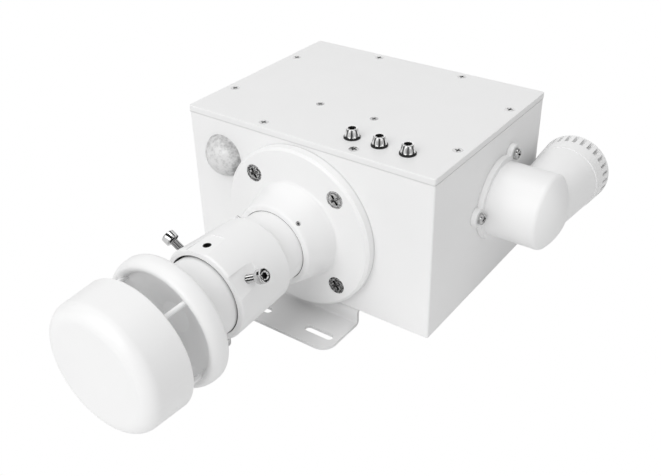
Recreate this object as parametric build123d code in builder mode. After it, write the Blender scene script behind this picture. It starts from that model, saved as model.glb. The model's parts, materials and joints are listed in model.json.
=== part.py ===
from build123d import *
import os
from math import asin, atan, cos, degrees, radians, sin, sqrt

# Compact weather station, standing on its slotted bracket.
# X runs along the front face, Y from front to back and Z up, in millimetres.
# The origin is the centre of the bracket's slot pattern, on the surface that it stands on.

# Fits
running_gap = 0.05          # radial gap of a screw, plug or shaft in its hole
clear_gap = 0.3             # gap between parts that must not touch

# Metric screws: thread radius, head radius, head height
m3_radius = 1.5
m3_countersunk_radius = 2.6
m3_pan_radius = 2.8
m3_pan_height = 2.0
m4_radius = 2.0
m4_socket_radius = 3.5
m4_socket_height = 4.0
m4_pan_radius = 3.8
m4_pan_height = 2.6
m5_radius = 2.5
m5_countersunk_radius = 4.85
m5_nut_flats = 8.0
m5_nut_height = 4.0
recess_width = 0.28         # cross recess, as shares of the head radius
recess_length = 1.2
recess_depth = 1.1
pan_rounding = 0.45         # as a share of the head's height
socket_edge = 0.4           # edge chamfer of the socket screws

# Mounting bracket
bracket_thickness = 1.6
bracket_height = 10.0       # from the surface to the underside of the box
bracket_width = 65.0
bracket_length = 173.5
bracket_corner_radius = 7.5
bend_radius = 1.2           # inside of the bend
slot_spacing_x = 40.8
slot_spacing_y = 153.4
slot_length = 17.4
slot_width = 4.5
bracket_screw_x = 40.0
bracket_screw_y = 70.0
bracket_screw_length = 8.0

# Enclosure
box_width = 150.0
box_depth = 118.0
body_height = 87.3
wall = 3.0
box_edge_radius = 1.2
gasket_height = 0.9
gasket_inset = 0.15
lid_thickness = 3.0
lid_overhang = 0.3
lid_edge_radius = 0.5
lid_screw_x = 69.5          # pair on the left and right edges
lid_screw_side_y = 28.0
lid_screw_front_x = 27.7    # pair on the front and back edges
lid_screw_y = 54.0
lid_screw_length = 10.0
lid_boss_radius = 4.0
lid_boss_length = 10.0
lid_hole_depth = 8.0

# Status lights
bezel_first_x = 19.95
bezel_spacing = 15.85
bezel_y = -44.15
bezel_height = 5.25
bezel_base_radius = 3.9
bezel_top_radius = 2.9
bezel_lip = 0.5
bezel_barrel_radius = 3.0
bezel_barrel_length = 7.0   # below the top of the lid
bezel_seal_radius = 4.2
bezel_seal_height = 0.7
bezel_nut_flats = 8.0
bezel_nut_height = 2.0
led_radius = 2.0
led_recess = 1.2            # from the bezel's top down to the lens
led_rounding = 1.3

# Board of the status lights, hung under the lid
centre_screw_x = 17.0
centre_screw_y = -20.0
centre_screw_radius = 1.25
centre_screw_head_radius = 2.25
centre_screw_length = 8.0
spacer_radius = 2.6
spacer_height = 9.0
spacer_stud_radius = 1.1
spacer_stud_length = 2.6
led_board_margin = 5.0
led_board_front_margin = 3.4
board_thickness = 1.6

# Light sensor
dome_x = -53.1
dome_z = 77.2
dome_radius = 12.0
dome_height = 8.2
dome_wall = 1.4
dome_hole_radius = 8.0
sensor_board_size = 22.0
sensor_chip_size = 5.0
sensor_chip_height = 1.5

# Side tube: flange, hub and neck, measured from the front face
sensor_x = -1.8
sensor_z = 51.55
flange_radius = 45.0
flange_gasket_height = 1.0
flange_thickness = 5.0
flange_chamfer = 1.4
flange_screw_spacing = 50.7
flange_screw_length = 16.0
wire_hole_radius = 12.0
hub_foot_radius = 26.7
hub_foot_rounding = 1.5
hub_edge_radius = 25.5
hub_edge_reach = 11.0
hub_edge_rounding = 2.5
hub_end_radius = 22.2
hub_reach = 24.4
hub_end_rounding = 1.6
set_screw_reach = 22.0
set_screw_radius = 1.25
set_screw_angles = (48.0, 165.0, 285.0)
set_screw_lengths = (3.6, 7.0, 3.6)
neck_radius = 19.0
neck_wall = 2.5
neck_seat = 5.0             # where the neck tube starts inside the hub
neck_relief_gap = 0.3       # wider mouth of the hub's bore
neck_relief_depth = 2.0

# Clamp collar
collar_start = 37.5
collar_end = 75.0
collar_back_radius = 22.4
collar_front_radius = 24.0
collar_back_rounding = 2.2
collar_front_rounding = 1.3
collar_step = 49.5          # end of the neck tube's bore
collar_shoulder = 1.5
collar_bore_radius = 20.85
clamp_reach = 65.25         # clamp screws, measured from the front face
clamp_flat_start = 59.0
clamp_flat_depth = 0.4
clamp_flat_width = 12.0
clamp_screw_length = 10.0
clamp_screw_angles = {"right": 30.0, "left": 150.0, "bottom": 270.0}
clamp_spare_angle = 94.0    # tapped hole without a screw
clamp_spare_reach = 67.5
clamp_tip_gap = 0.35        # from the tube to the tips of the screws, backed out
clamp_socket_flats = 3.0
clamp_socket_depth = 2.0

# Wind head, on a tube that hangs a little low in the loose collar
head_drop = 0.3
head_pitch = 0.6            # degrees, nose down
tube_radius = 20.1
tube_wall = 2.6
dish_start = 93.5
dish_radius = 33.0
dish_back_rounding = 2.5
dish_side_length = 3.5      # straight side
dish_edge_height = 6.2      # rounded edge, from the straight side to the crest
dish_crest_radius = 30.0
dish_bowl_radius = 27.0
dish_bowl_depth = 3.6       # from the crest down to the bowl's edge
dish_floor_radius = 8.0
dish_floor_depth = 6.6      # from the bowl's edge down to its floor
dish_spigot = 8.0
pillar_radius = 1.2
pillar_count = 4
pillar_circle_radius = 27.2
pillar_first_angle = 50.0
pillar_sink = 3.0
cap_start = 116.2
cap_end = 139.65
cap_back_radius = 32.9
cap_front_radius = 32.05
cap_edge_reach = 133.0
cap_wall = 2.4
cap_rim_rounding = 0.6
cap_edge_width = 7.2        # rounding between side and front, measured along the front
cap_base_recess = 1.0
cap_base_thickness = 3.2
cap_ledge = 1.5
transducer_radius = 6.0
transducer_circle_radius = 13.0
transducer_first_angle = 95.0
transducer_height = 8.0
transducer_flange = 1.0
transducer_flange_height = 1.2
head_board_radius = 24.0

# Air inlet on the right face
inlet_y = 8.5
inlet_z = 60.25
inlet_gasket_height = 0.6
inlet_foot_height = 2.6
inlet_foot_radius = 23.0
inlet_screw_circle_radius = 24.3
inlet_screw_first_angle = 60.0
inlet_ear_radius = 5.0
inlet_head_radius = 3.1
inlet_head_height = 2.2
inlet_screw_radius = 1.6
inlet_screw_length = 9.0
inlet_boss_radius = 4.0
inlet_boss_length = 4.0
inlet_hole_radius = 15.0
drum_radius = 20.1
drum_wall = 2.2
drum_straight_reach = 29.8
drum_reach = 37.9
drum_edge_rounding = 3.1
leg_reach = 21.6            # axis of the second leg, from the right face
leg_start_radius = 15.6
leg_radius = 18.2
leg_bore_radius = 13.6
leg_end = 61.9              # end of the cap
leg_cap_length = 15.9
leg_cap_mouth_radius = 18.5
leg_cap_radius = 19.5
leg_cap_end_wall = 2.0
leg_spigot_radius = 17.2
leg_spigot_length = 7.0
cap_slot_count = 28
cap_slot_width = 1.9
cap_slot_length = 6.5
leg_cap_rounding = 1.5
mesh_thickness = 0.4

# Air outlet and fan on the left face
outlet_size = 42.0
outlet_height = 4.0
outlet_corner_radius = 6.0
outlet_taper = 12.0
outlet_louvre_count = 6
outlet_louvre_spacing = 4.6
outlet_louvre_width = 2.4
outlet_louvre_length = 26.0
outlet_hole_radius = 17.5
fan_size = 40.0
fan_depth = 10.0
fan_corner_radius = 3.0
fan_bore_radius = 18.6
fan_screw_spacing = 32.0
fan_screw_length = 14.0
fan_mount_radius = 9.5
fan_mount_depth = 1.5
fan_strut_width = 2.0
fan_strut_overlap = 1.0     # of the struts' ends in the frame
fan_post_radius = 2.0
fan_post_length = 6.0
fan_hub_radius = 9.0
fan_hub_wall = 1.2
fan_blade_count = 7
fan_blade_radius = 17.8
fan_blade_width = 8.0
fan_blade_thickness = 1.0
fan_blade_angle = 38.0

# Boards inside the box
main_board_side_margin = 7.0
main_board_front_margin = 8.5
main_screw_side_inset = 9.0
main_screw_front_inset = 7.5
main_boss_height = 9.0
main_boss_radius = 3.5
board_screw_length = 6.0
board_screw_depth = 5.0
chip_size = 14.0
chip_height = 1.4
chip_spacing = 34.0
terminal_x = -34.0
terminal_margin = 6.5       # from the board's back edge
terminal_width = 25.0
terminal_depth = 10.0
terminal_height = 11.0
terminal_ways = 5
terminal_hole_radius = 1.6
particle_x = 30.0
particle_y = 4.0
particle_width = 42.0
particle_depth = 38.0
particle_height = 14.0
particle_port_radius = 4.0

# Cable gland on the back face
gland_x = -30.0
gland_z = 36.0
gland_thread_radius = 8.0
gland_flats = 20.0
gland_hex_height = 5.0
gland_neck_length = 9.0
gland_nut_length = 15.0
gland_nut_dome = 3.0
gland_cable_radius = 3.5
gland_bore_radius = 5.5
gland_seal_wall_radius = 6.4
gland_locknut_height = 4.0
gland_thread_inside = 9.0

# Levels and faces that follow from the sizes above
body_bottom = bracket_height
floor_top = body_bottom + wall
body_top = body_bottom + body_height
lid_bottom = body_top + gasket_height
lid_top = lid_bottom + lid_thickness
inner_width = box_width - 2 * wall
inner_depth = box_depth - 2 * wall
front_y = -box_depth / 2
main_board_width = inner_width - 2 * main_board_side_margin
main_board_depth = inner_depth - 2 * main_board_front_margin
main_screw_x = main_board_width - 2 * main_screw_side_inset
main_screw_y = main_board_depth - 2 * main_screw_front_inset
terminal_y = main_board_depth / 2 - terminal_margin - terminal_depth / 2
dish_side_reach = dish_start + dish_side_length
dish_crest_reach = dish_side_reach + dish_edge_height
dish_bowl_reach = dish_crest_reach - dish_bowl_depth
dish_floor_reach = dish_bowl_reach - dish_floor_depth
right_x = box_width / 2

neck_face = Plane(origin=(sensor_x, front_y, sensor_z), x_dir=(1, 0, 0), z_dir=(0, -1, 0))
dome_face = Plane(origin=(dome_x, front_y, dome_z), x_dir=(1, 0, 0), z_dir=(0, -1, 0))
inlet_face = Plane(origin=(right_x, inlet_y, inlet_z), x_dir=(0, 1, 0), z_dir=(1, 0, 0))
outlet_face = Plane(origin=(-right_x, inlet_y, inlet_z), x_dir=(0, -1, 0), z_dir=(-1, 0, 0))
gland_face = Plane(origin=(gland_x, -front_y, gland_z), x_dir=(-1, 0, 0), z_dir=(0, 1, 0))

lid_screw_pairs = [(lid_screw_x, lid_screw_side_y), (lid_screw_front_x, lid_screw_y)]
lid_screw_points = [(side * x, end * y) for x, y in lid_screw_pairs for side in (-1, 1) for end in (-1, 1)]
bezel_points = [(bezel_first_x + i * bezel_spacing, bezel_y) for i in range(3)]
centre_screw_points = [(-centre_screw_x, centre_screw_y), (centre_screw_x, centre_screw_y)]

os.makedirs("parts", exist_ok=True)


def section_of(face):
    """Plane through a face's axis: local x is the radius, local y the distance out of the face."""
    return Plane(origin=face.origin, x_dir=face.x_dir, z_dir=-face.y_dir)


def axis_of(face):
    """Axis that stands on a face's origin."""
    return Axis(face.origin, face.z_dir)


def side_plane(face, reach, angle):
    """Plane through a face's axis that looks outwards at an angle; local x runs along the axis."""
    outward = face.x_dir * cos(radians(angle)) + face.y_dir * sin(radians(angle))
    return Plane(origin=face.origin + face.z_dir * reach, x_dir=face.z_dir, z_dir=outward)


def corner(profile, x, y):
    """The corner of a profile that is nearest to a point."""
    return profile.vertices().sort_by_distance((x, y))[0]


def crown_sphere(radius, height):
    """Radius of the sphere that a crown of this rim radius and height is cut from."""
    return (radius ** 2 + height ** 2) / (2 * height)


def crown_middle(radius, crest, sphere):
    """Point half way along a crown's profile, between its rim and its crest."""
    half_angle = asin(radius / sphere) / 2
    return (sphere * sin(half_angle), crest - sphere + sphere * cos(half_angle))


def cross_recess(top, head_radius):
    """Outline of a screw head's cross recess, at the height of its top."""
    with BuildSketch(Plane.XY.offset(top)) as recess:
        Rectangle(head_radius * recess_length, head_radius * recess_width)
        Rectangle(head_radius * recess_width, head_radius * recess_length)
    return recess.sketch


def countersunk_screw(radius, head_radius, length):
    """Countersunk cross-recess screw: head face at z = 0, thread down."""
    with BuildPart() as screw:
        with BuildSketch(Plane.XZ):
            Polygon(
                (0, 0),
                (head_radius, 0),
                (radius, radius - head_radius),
                (radius, -length),
                (0, -length),
                align=None,
            )
        revolve(axis=Axis.Z)
        extrude(cross_recess(0, head_radius), amount=-recess_depth, mode=Mode.SUBTRACT)
    return screw.part


def pan_screw(radius, head_radius, head_height, length):
    """Pan head cross-recess screw: head on top of z = 0, thread down."""
    with BuildPart() as screw:
        Cylinder(head_radius, head_height, align=(Align.CENTER, Align.CENTER, Align.MIN))
        fillet(screw.edges().sort_by(Axis.Z)[-1], head_height * pan_rounding)
        Cylinder(radius, length, align=(Align.CENTER, Align.CENTER, Align.MAX))
        extrude(cross_recess(head_height, head_radius), amount=-recess_depth, mode=Mode.SUBTRACT)
    return screw.part


def grub_screw(radius, length):
    """Grub screw: flat end with a hexagon socket at z = 0, thread down."""
    with BuildPart() as screw:
        Cylinder(radius, length, align=(Align.CENTER, Align.CENTER, Align.MAX))
        with BuildSketch(Plane.XY):
            RegularPolygon(radius / 2, 6, major_radius=False)
        extrude(amount=-radius, mode=Mode.SUBTRACT)
    return screw.part


def socket_screw(radius, head_radius, head_height, length):
    """Socket head screw: head on top of z = 0, thread down."""
    with BuildPart() as screw:
        Cylinder(head_radius, head_height, align=(Align.CENTER, Align.CENTER, Align.MIN))
        chamfer(screw.edges().sort_by(Axis.Z)[-1], socket_edge)
        Cylinder(radius, length, align=(Align.CENTER, Align.CENTER, Align.MAX))
        chamfer(screw.edges().sort_by(Axis.Z)[0], socket_edge)
        with BuildSketch(Plane.XY.offset(head_height)):
            RegularPolygon(clamp_socket_flats / 2, 6, major_radius=False)
        extrude(amount=-clamp_socket_depth, mode=Mode.SUBTRACT)
    return screw.part


# Enclosure body: open box with hanging bosses for the lid screws and bosses on its floor
with BuildPart() as enclosure_body:
    with BuildSketch(Plane.XY.offset(body_bottom)):
        Rectangle(box_width, box_depth)
    extrude(amount=body_height)
    fillet(enclosure_body.edges().filter_by(Axis.Z), box_edge_radius)
    fillet(enclosure_body.faces().sort_by(Axis.Z)[0].edges(), box_edge_radius)
    with BuildSketch(Plane.XY.offset(floor_top)):
        Rectangle(inner_width, inner_depth)
    extrude(amount=body_height, mode=Mode.SUBTRACT)
    with BuildSketch(Plane.XY.offset(body_top)):
        with Locations(*lid_screw_points):
            Circle(lid_boss_radius)
    extrude(amount=-lid_boss_length)
    with BuildSketch(Plane.XY.offset(body_top)):
        with Locations(*lid_screw_points):
            Circle(m3_radius + running_gap)
    extrude(amount=-lid_hole_depth, mode=Mode.SUBTRACT)
    # Bosses of the main board, with blind holes
    with BuildSketch(Plane.XY.offset(floor_top)):
        with GridLocations(main_screw_x, main_screw_y, 2, 2):
            Circle(main_boss_radius)
    extrude(amount=main_boss_height)
    with BuildSketch(Plane.XY.offset(floor_top + main_boss_height)):
        with GridLocations(main_screw_x, main_screw_y, 2, 2):
            Circle(m3_radius + running_gap)
    extrude(amount=-board_screw_depth, mode=Mode.SUBTRACT)
    # Bosses of the bracket screws, drilled from below
    with BuildSketch(Plane.XY.offset(floor_top)):
        with GridLocations(bracket_screw_x, bracket_screw_y, 2, 2):
            Circle(m4_radius + wall)
    extrude(amount=bracket_screw_length - wall)
    with BuildSketch(Plane.XY.offset(body_bottom)):
        with GridLocations(bracket_screw_x, bracket_screw_y, 2, 2):
            Circle(m4_radius + running_gap)
    extrude(amount=bracket_screw_length, mode=Mode.SUBTRACT)
    # Front wall: wire hole and screw holes of the flange, and the light sensor's window
    with BuildSketch(neck_face):
        Circle(wire_hole_radius)
        with GridLocations(flange_screw_spacing, flange_screw_spacing, 2, 2):
            Circle(m5_radius + running_gap)
    extrude(amount=-wall, mode=Mode.SUBTRACT)
    with BuildSketch(dome_face):
        Circle(dome_hole_radius)
    extrude(amount=-wall, mode=Mode.SUBTRACT)
    # Right wall: air hole and screw bosses of the inlet
    with BuildSketch(inlet_face.offset(-wall)):
        with PolarLocations(inlet_screw_circle_radius, 3, start_angle=inlet_screw_first_angle):
            Circle(inlet_boss_radius)
    extrude(amount=-inlet_boss_length)
    with BuildSketch(inlet_face):
        Circle(inlet_hole_radius)
        with PolarLocations(inlet_screw_circle_radius, 3, start_angle=inlet_screw_first_angle):
            Circle(inlet_screw_radius + running_gap)
    extrude(amount=-wall - inlet_boss_length, mode=Mode.SUBTRACT)
    # Left wall: air hole and fan screws
    with BuildSketch(outlet_face):
        Circle(outlet_hole_radius)
        with GridLocations(fan_screw_spacing, fan_screw_spacing, 2, 2):
            Circle(m3_radius + running_gap)
    extrude(amount=-wall, mode=Mode.SUBTRACT)
    # Back wall: hole of the cable gland
    with BuildSketch(gland_face):
        Circle(gland_thread_radius + running_gap)
    extrude(amount=-wall, mode=Mode.SUBTRACT)
enclosure_body.part.label = "enclosure_body"
export_step(enclosure_body.part, "parts/enclosure_body.step")

# Lid gasket: a flat frame that widens round each screw
with BuildPart() as lid_gasket:
    with BuildSketch(Plane.XY.offset(body_top)):
        Rectangle(box_width - 2 * gasket_inset, box_depth - 2 * gasket_inset)
        Rectangle(inner_width, inner_depth, mode=Mode.SUBTRACT)
        with Locations(*lid_screw_points):
            Circle(lid_boss_radius)
            Circle(m3_radius + running_gap, mode=Mode.SUBTRACT)
    extrude(amount=gasket_height)
lid_gasket.part.label = "lid_gasket"
export_step(lid_gasket.part, "parts/lid_gasket.step")

# Lid: flat cover plate with countersunk holes
with BuildPart() as lid:
    with BuildSketch(Plane.XY.offset(lid_bottom)):
        RectangleRounded(
            box_width + 2 * lid_overhang,
            box_depth + 2 * lid_overhang,
            box_edge_radius + lid_overhang,
        )
    extrude(amount=lid_thickness)
    fillet(lid.faces().sort_by(Axis.Z)[-1].edges(), lid_edge_radius)
    with Locations(*[(x, y, lid_top) for x, y in lid_screw_points]):
        CounterSinkHole(m3_radius + running_gap, m3_countersunk_radius + running_gap, counter_sink_angle=90)
    with Locations(*[(x, y, lid_top) for x, y in centre_screw_points]):
        CounterSinkHole(
            centre_screw_radius + running_gap,
            centre_screw_head_radius + running_gap,
            counter_sink_angle=90,
        )
    with Locations(*[(x, y, lid_top) for x, y in bezel_points]):
        Hole(bezel_barrel_radius + running_gap)
lid.part.label = "lid"
export_step(lid.part, "parts/lid.step")

# Screws of the lid
with BuildPart(Plane.XY.offset(lid_top)) as lid_screws:
    with Locations(*lid_screw_points):
        add(countersunk_screw(m3_radius, m3_countersunk_radius, lid_screw_length))
lid_screws.part.label = "lid_screws"
export_step(lid_screws.part, "parts/lid_screws.step")

with BuildPart(Plane.XY.offset(lid_top)) as centre_screws:
    with Locations(*centre_screw_points):
        add(countersunk_screw(centre_screw_radius, centre_screw_head_radius, centre_screw_length))
centre_screws.part.label = "centre_screws"
export_step(centre_screws.part, "parts/centre_screws.step")

# Status lights: seal, bezel, nut and lens at each place
with BuildPart() as bezel_seals:
    with BuildSketch(Plane.XY.offset(lid_top)):
        with Locations(*bezel_points):
            Circle(bezel_seal_radius)
            Circle(bezel_barrel_radius + running_gap, mode=Mode.SUBTRACT)
    extrude(amount=bezel_seal_height)
bezel_seals.part.label = "bezel_seals"
export_step(bezel_seals.part, "parts/bezel_seals.step")

with BuildPart() as bezel_nuts:
    with BuildSketch(Plane.XY.offset(lid_bottom)):
        with Locations(*bezel_points):
            RegularPolygon(bezel_nut_flats / 2, 6, major_radius=False)
            Circle(bezel_barrel_radius + running_gap, mode=Mode.SUBTRACT)
    extrude(amount=-bezel_nut_height)
bezel_nuts.part.label = "bezel_nuts"
export_step(bezel_nuts.part, "parts/bezel_nuts.step")

led_board_top = lid_bottom - spacer_height
lens_top = bezel_height - led_recess
for number, (bezel_x, bezel_line_y) in enumerate(bezel_points, start=1):
    bezel_face = Plane(origin=(bezel_x, bezel_line_y, lid_top))
    with BuildPart() as led_bezel:
        with BuildSketch(section_of(bezel_face)):
            with BuildLine():
                Polyline(
                    (led_radius + running_gap, bezel_height),
                    (led_radius + running_gap, -bezel_barrel_length),
                    (bezel_barrel_radius, -bezel_barrel_length),
                    (bezel_barrel_radius, bezel_seal_height),
                    (bezel_base_radius, bezel_seal_height),
                    (bezel_top_radius, bezel_height - bezel_lip),
                    (bezel_top_radius - bezel_lip, bezel_height),
                    close=True,
                )
            make_face()
        revolve(axis=axis_of(bezel_face))
    led_bezel.part.label = f"led_bezel_{number}"
    export_step(led_bezel.part, f"parts/led_bezel_{number}.step")

    with BuildPart() as led_lens:
        with BuildSketch(Plane((bezel_x, bezel_line_y, led_board_top))):
            Circle(led_radius)
        extrude(amount=lid_top - led_board_top + lens_top)
        fillet(led_lens.edges().sort_by(Axis.Z)[-1], led_rounding)
    led_lens.part.label = f"led_lens_{number}"
    export_step(led_lens.part, f"parts/led_lens_{number}.step")

# Board of the status lights, hung under the lid on two spacers
led_board_left = -centre_screw_x - led_board_margin
led_board_right = bezel_points[-1][0] + led_board_margin
led_board_front = bezel_y - led_board_front_margin
led_board_back = centre_screw_y + led_board_margin
led_board_centre = ((led_board_left + led_board_right) / 2, (led_board_front + led_board_back) / 2)
with BuildPart() as led_board:
    with BuildSketch(Plane.XY.offset(led_board_top)):
        with Locations(led_board_centre):
            Rectangle(led_board_right - led_board_left, led_board_back - led_board_front)
        with Locations(*centre_screw_points):
            Circle(spacer_stud_radius + running_gap, mode=Mode.SUBTRACT)
    extrude(amount=-board_thickness)
led_board.part.label = "led_board"
export_step(led_board.part, "parts/led_board.step")

with BuildPart() as board_spacers:
    with BuildSketch(Plane.XY.offset(led_board_top)):
        with Locations(*centre_screw_points):
            Circle(spacer_radius)
    extrude(amount=spacer_height)
    with BuildSketch(Plane.XY.offset(led_board_top)):
        with Locations(*centre_screw_points):
            Circle(spacer_stud_radius)
    extrude(amount=-spacer_stud_length)
    with BuildSketch(Plane.XY.offset(lid_bottom)):
        with Locations(*centre_screw_points):
            Circle(centre_screw_radius + running_gap)
    extrude(amount=lid_thickness - centre_screw_length - clear_gap, mode=Mode.SUBTRACT)
board_spacers.part.label = "board_spacers"
export_step(board_spacers.part, "parts/board_spacers.step")

# Light sensor: shallow hollow dome over a window, and its board behind the wall
dome_sphere = crown_sphere(dome_radius, dome_height)
inner_sphere = dome_sphere - dome_wall
inner_crest = dome_height - dome_wall
dome_bore = sqrt(inner_sphere ** 2 - (dome_height - dome_sphere) ** 2)
with BuildPart() as light_sensor_dome:
    with BuildSketch(section_of(dome_face)):
        with BuildLine():
            ThreePointArc(
                (dome_radius, 0),
                crown_middle(dome_radius, dome_height, dome_sphere),
                (0, dome_height),
            )
            Line((0, dome_height), (0, inner_crest))
            ThreePointArc(
                (0, inner_crest),
                crown_middle(dome_bore, inner_crest, inner_sphere),
                (dome_bore, 0),
            )
            Line((dome_bore, 0), (dome_radius, 0))
        make_face()
    revolve(axis=axis_of(dome_face))
light_sensor_dome.part.label = "light_sensor_dome"
export_step(light_sensor_dome.part, "parts/light_sensor_dome.step")

with BuildPart() as light_sensor_board:
    with BuildSketch(dome_face.offset(-wall)):
        Rectangle(sensor_board_size, sensor_board_size)
    extrude(amount=-board_thickness)
    with BuildSketch(dome_face.offset(-wall)):
        Rectangle(sensor_chip_size, sensor_chip_size)
    extrude(amount=sensor_chip_height)
light_sensor_board.part.label = "light_sensor_board"
export_step(light_sensor_board.part, "parts/light_sensor_board.step")

# Neck flange: round plate and tapering hub in one piece
flange_face = flange_gasket_height + flange_thickness
neck_bore = neck_radius + running_gap
with BuildPart() as neck_flange:
    with BuildSketch(section_of(neck_face)) as flange_profile:
        with BuildLine():
            Polyline(
                (wire_hole_radius, flange_gasket_height),
                (flange_radius, flange_gasket_height),
                (flange_radius, flange_face - flange_chamfer),
                (flange_radius - flange_chamfer, flange_face),
                (hub_foot_radius, flange_face),
                (hub_edge_radius, hub_edge_reach),
                (hub_end_radius, hub_reach),
                (neck_radius + neck_relief_gap, hub_reach),
                (neck_radius + neck_relief_gap, hub_reach - neck_relief_depth),
                (neck_bore, hub_reach - neck_relief_depth),
                (neck_bore, neck_seat),
                (wire_hole_radius, neck_seat),
                close=True,
            )
        make_face()
        fillet(corner(flange_profile, hub_foot_radius, flange_face), hub_foot_rounding)
        fillet(corner(flange_profile, hub_edge_radius, hub_edge_reach), hub_edge_rounding)
        fillet(corner(flange_profile, hub_end_radius, hub_reach), hub_end_rounding)
    revolve(axis=axis_of(neck_face))
    with BuildSketch(neck_face):
        with GridLocations(flange_screw_spacing, flange_screw_spacing, 2, 2):
            Circle(m5_radius + running_gap)
    extrude(amount=flange_face, mode=Mode.SUBTRACT)
    with BuildSketch(neck_face.offset(flange_face)):
        with GridLocations(flange_screw_spacing, flange_screw_spacing, 2, 2):
            Circle(m5_countersunk_radius + running_gap)
    extrude(amount=m5_radius - m5_countersunk_radius, taper=45, mode=Mode.SUBTRACT)
    for angle in set_screw_angles:
        with BuildSketch(side_plane(neck_face, set_screw_reach, angle)):
            Circle(set_screw_radius + running_gap)
        extrude(amount=hub_foot_radius, mode=Mode.SUBTRACT)
neck_flange.part.label = "neck_flange"
export_step(neck_flange.part, "parts/neck_flange.step")

with BuildPart() as flange_gasket:
    with BuildSketch(neck_face):
        Circle(flange_radius)
        Circle(wire_hole_radius, mode=Mode.SUBTRACT)
        with GridLocations(flange_screw_spacing, flange_screw_spacing, 2, 2):
            Circle(m5_radius + running_gap, mode=Mode.SUBTRACT)
    extrude(amount=flange_gasket_height)
flange_gasket.part.label = "flange_gasket"
export_step(flange_gasket.part, "parts/flange_gasket.step")

with BuildPart(neck_face.offset(flange_face)) as flange_screws:
    with GridLocations(flange_screw_spacing, flange_screw_spacing, 2, 2):
        add(countersunk_screw(m5_radius, m5_countersunk_radius, flange_screw_length))
flange_screws.part.label = "flange_screws"
export_step(flange_screws.part, "parts/flange_screws.step")

with BuildPart() as flange_nuts:
    with BuildSketch(neck_face.offset(-wall)):
        with GridLocations(flange_screw_spacing, flange_screw_spacing, 2, 2):
            RegularPolygon(m5_nut_flats / 2, 6, major_radius=False)
            Circle(m5_radius + running_gap, mode=Mode.SUBTRACT)
    extrude(amount=-m5_nut_height)
flange_nuts.part.label = "flange_nuts"
export_step(flange_nuts.part, "parts/flange_nuts.step")

with BuildPart() as neck_set_screws:
    for angle, length in zip(set_screw_angles, set_screw_lengths):
        with Locations(side_plane(neck_face, set_screw_reach, angle).offset(neck_bore + length)):
            add(grub_screw(set_screw_radius, length))
neck_set_screws.part.label = "neck_set_screws"
export_step(neck_set_screws.part, "parts/neck_set_screws.step")

with BuildPart() as neck_tube:
    with BuildSketch(neck_face.offset(neck_seat)):
        Circle(neck_radius)
        Circle(neck_radius - neck_wall, mode=Mode.SUBTRACT)
    extrude(amount=collar_step - neck_seat)
neck_tube.part.label = "neck_tube"
export_step(neck_tube.part, "parts/neck_tube.step")

# Clamp collar: widens to the front, with a flat at each tapped hole
collar_slope = (collar_front_radius - collar_back_radius) / (collar_end - collar_start)
collar_radius_at_flat = collar_back_radius + collar_slope * (clamp_flat_start - collar_start)
clamp_holes = [(angle, clamp_reach) for angle in clamp_screw_angles.values()]
clamp_holes += [(clamp_spare_angle, clamp_spare_reach)]
with BuildPart() as clamp_collar:
    with BuildSketch(section_of(neck_face)) as collar_profile:
        with BuildLine():
            Polyline(
                (neck_bore, collar_start),
                (collar_back_radius, collar_start),
                (collar_front_radius, collar_end),
                (collar_bore_radius, collar_end),
                (collar_bore_radius, collar_step + collar_shoulder),
                (neck_radius - neck_wall, collar_step + collar_shoulder),
                (neck_radius - neck_wall, collar_step),
                (neck_bore, collar_step),
                close=True,
            )
        make_face()
        fillet(corner(collar_profile, collar_back_radius, collar_start), collar_back_rounding)
        fillet(corner(collar_profile, collar_front_radius, collar_end), collar_front_rounding)
    revolve(axis=axis_of(neck_face))
    for angle, hole_reach in clamp_holes:
        flat = side_plane(neck_face, clamp_flat_start, angle).offset(collar_radius_at_flat - clamp_flat_depth)
        with BuildSketch(flat.rotated((0, -degrees(atan(collar_slope)), 0))):
            Rectangle(collar_end, clamp_flat_width, align=(Align.MIN, Align.CENTER))
        extrude(amount=wall, mode=Mode.SUBTRACT)
        with BuildSketch(side_plane(neck_face, hole_reach, angle)):
            Circle(m4_radius + running_gap)
        extrude(amount=collar_front_radius, mode=Mode.SUBTRACT)
clamp_collar.part.label = "clamp_collar"
export_step(clamp_collar.part, "parts/clamp_collar.step")

# Frame of the wind head: dropped and pitched about the middle of the collar's grip
grip_reach = (collar_step + collar_end) / 2
head_face = neck_face.offset(grip_reach)
head_face.origin = head_face.origin - neck_face.y_dir * head_drop
head_face = head_face.rotated((head_pitch, 0, 0)).offset(-grip_reach)

# Clamp screws, backed out of the collar with their tips short of the tube
for name, angle in clamp_screw_angles.items():
    tip_drop = head_drop + (clamp_reach - grip_reach) * sin(radians(head_pitch))
    tip_radius = tube_radius - tip_drop * sin(radians(angle)) + clear_gap + clamp_tip_gap
    head_plane = side_plane(neck_face, clamp_reach, angle).offset(tip_radius + clamp_screw_length)
    with BuildPart(head_plane) as clamp_screw:
        add(socket_screw(m4_radius, m4_socket_radius, m4_socket_height, clamp_screw_length))
    clamp_screw.part.label = f"clamp_screw_{name}"
    export_step(clamp_screw.part, f"parts/clamp_screw_{name}.step")

# Wind head: tube, dish, pillars and cap
spigot_radius = tube_radius - tube_wall - running_gap
with BuildPart() as sensor_tube:
    tube_start = collar_step + collar_shoulder + clear_gap
    with BuildSketch(head_face.offset(tube_start)):
        Circle(tube_radius)
        Circle(tube_radius - tube_wall, mode=Mode.SUBTRACT)
    extrude(amount=dish_start - tube_start)
sensor_tube.part.label = "sensor_tube"
export_step(sensor_tube.part, "parts/sensor_tube.step")

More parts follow.
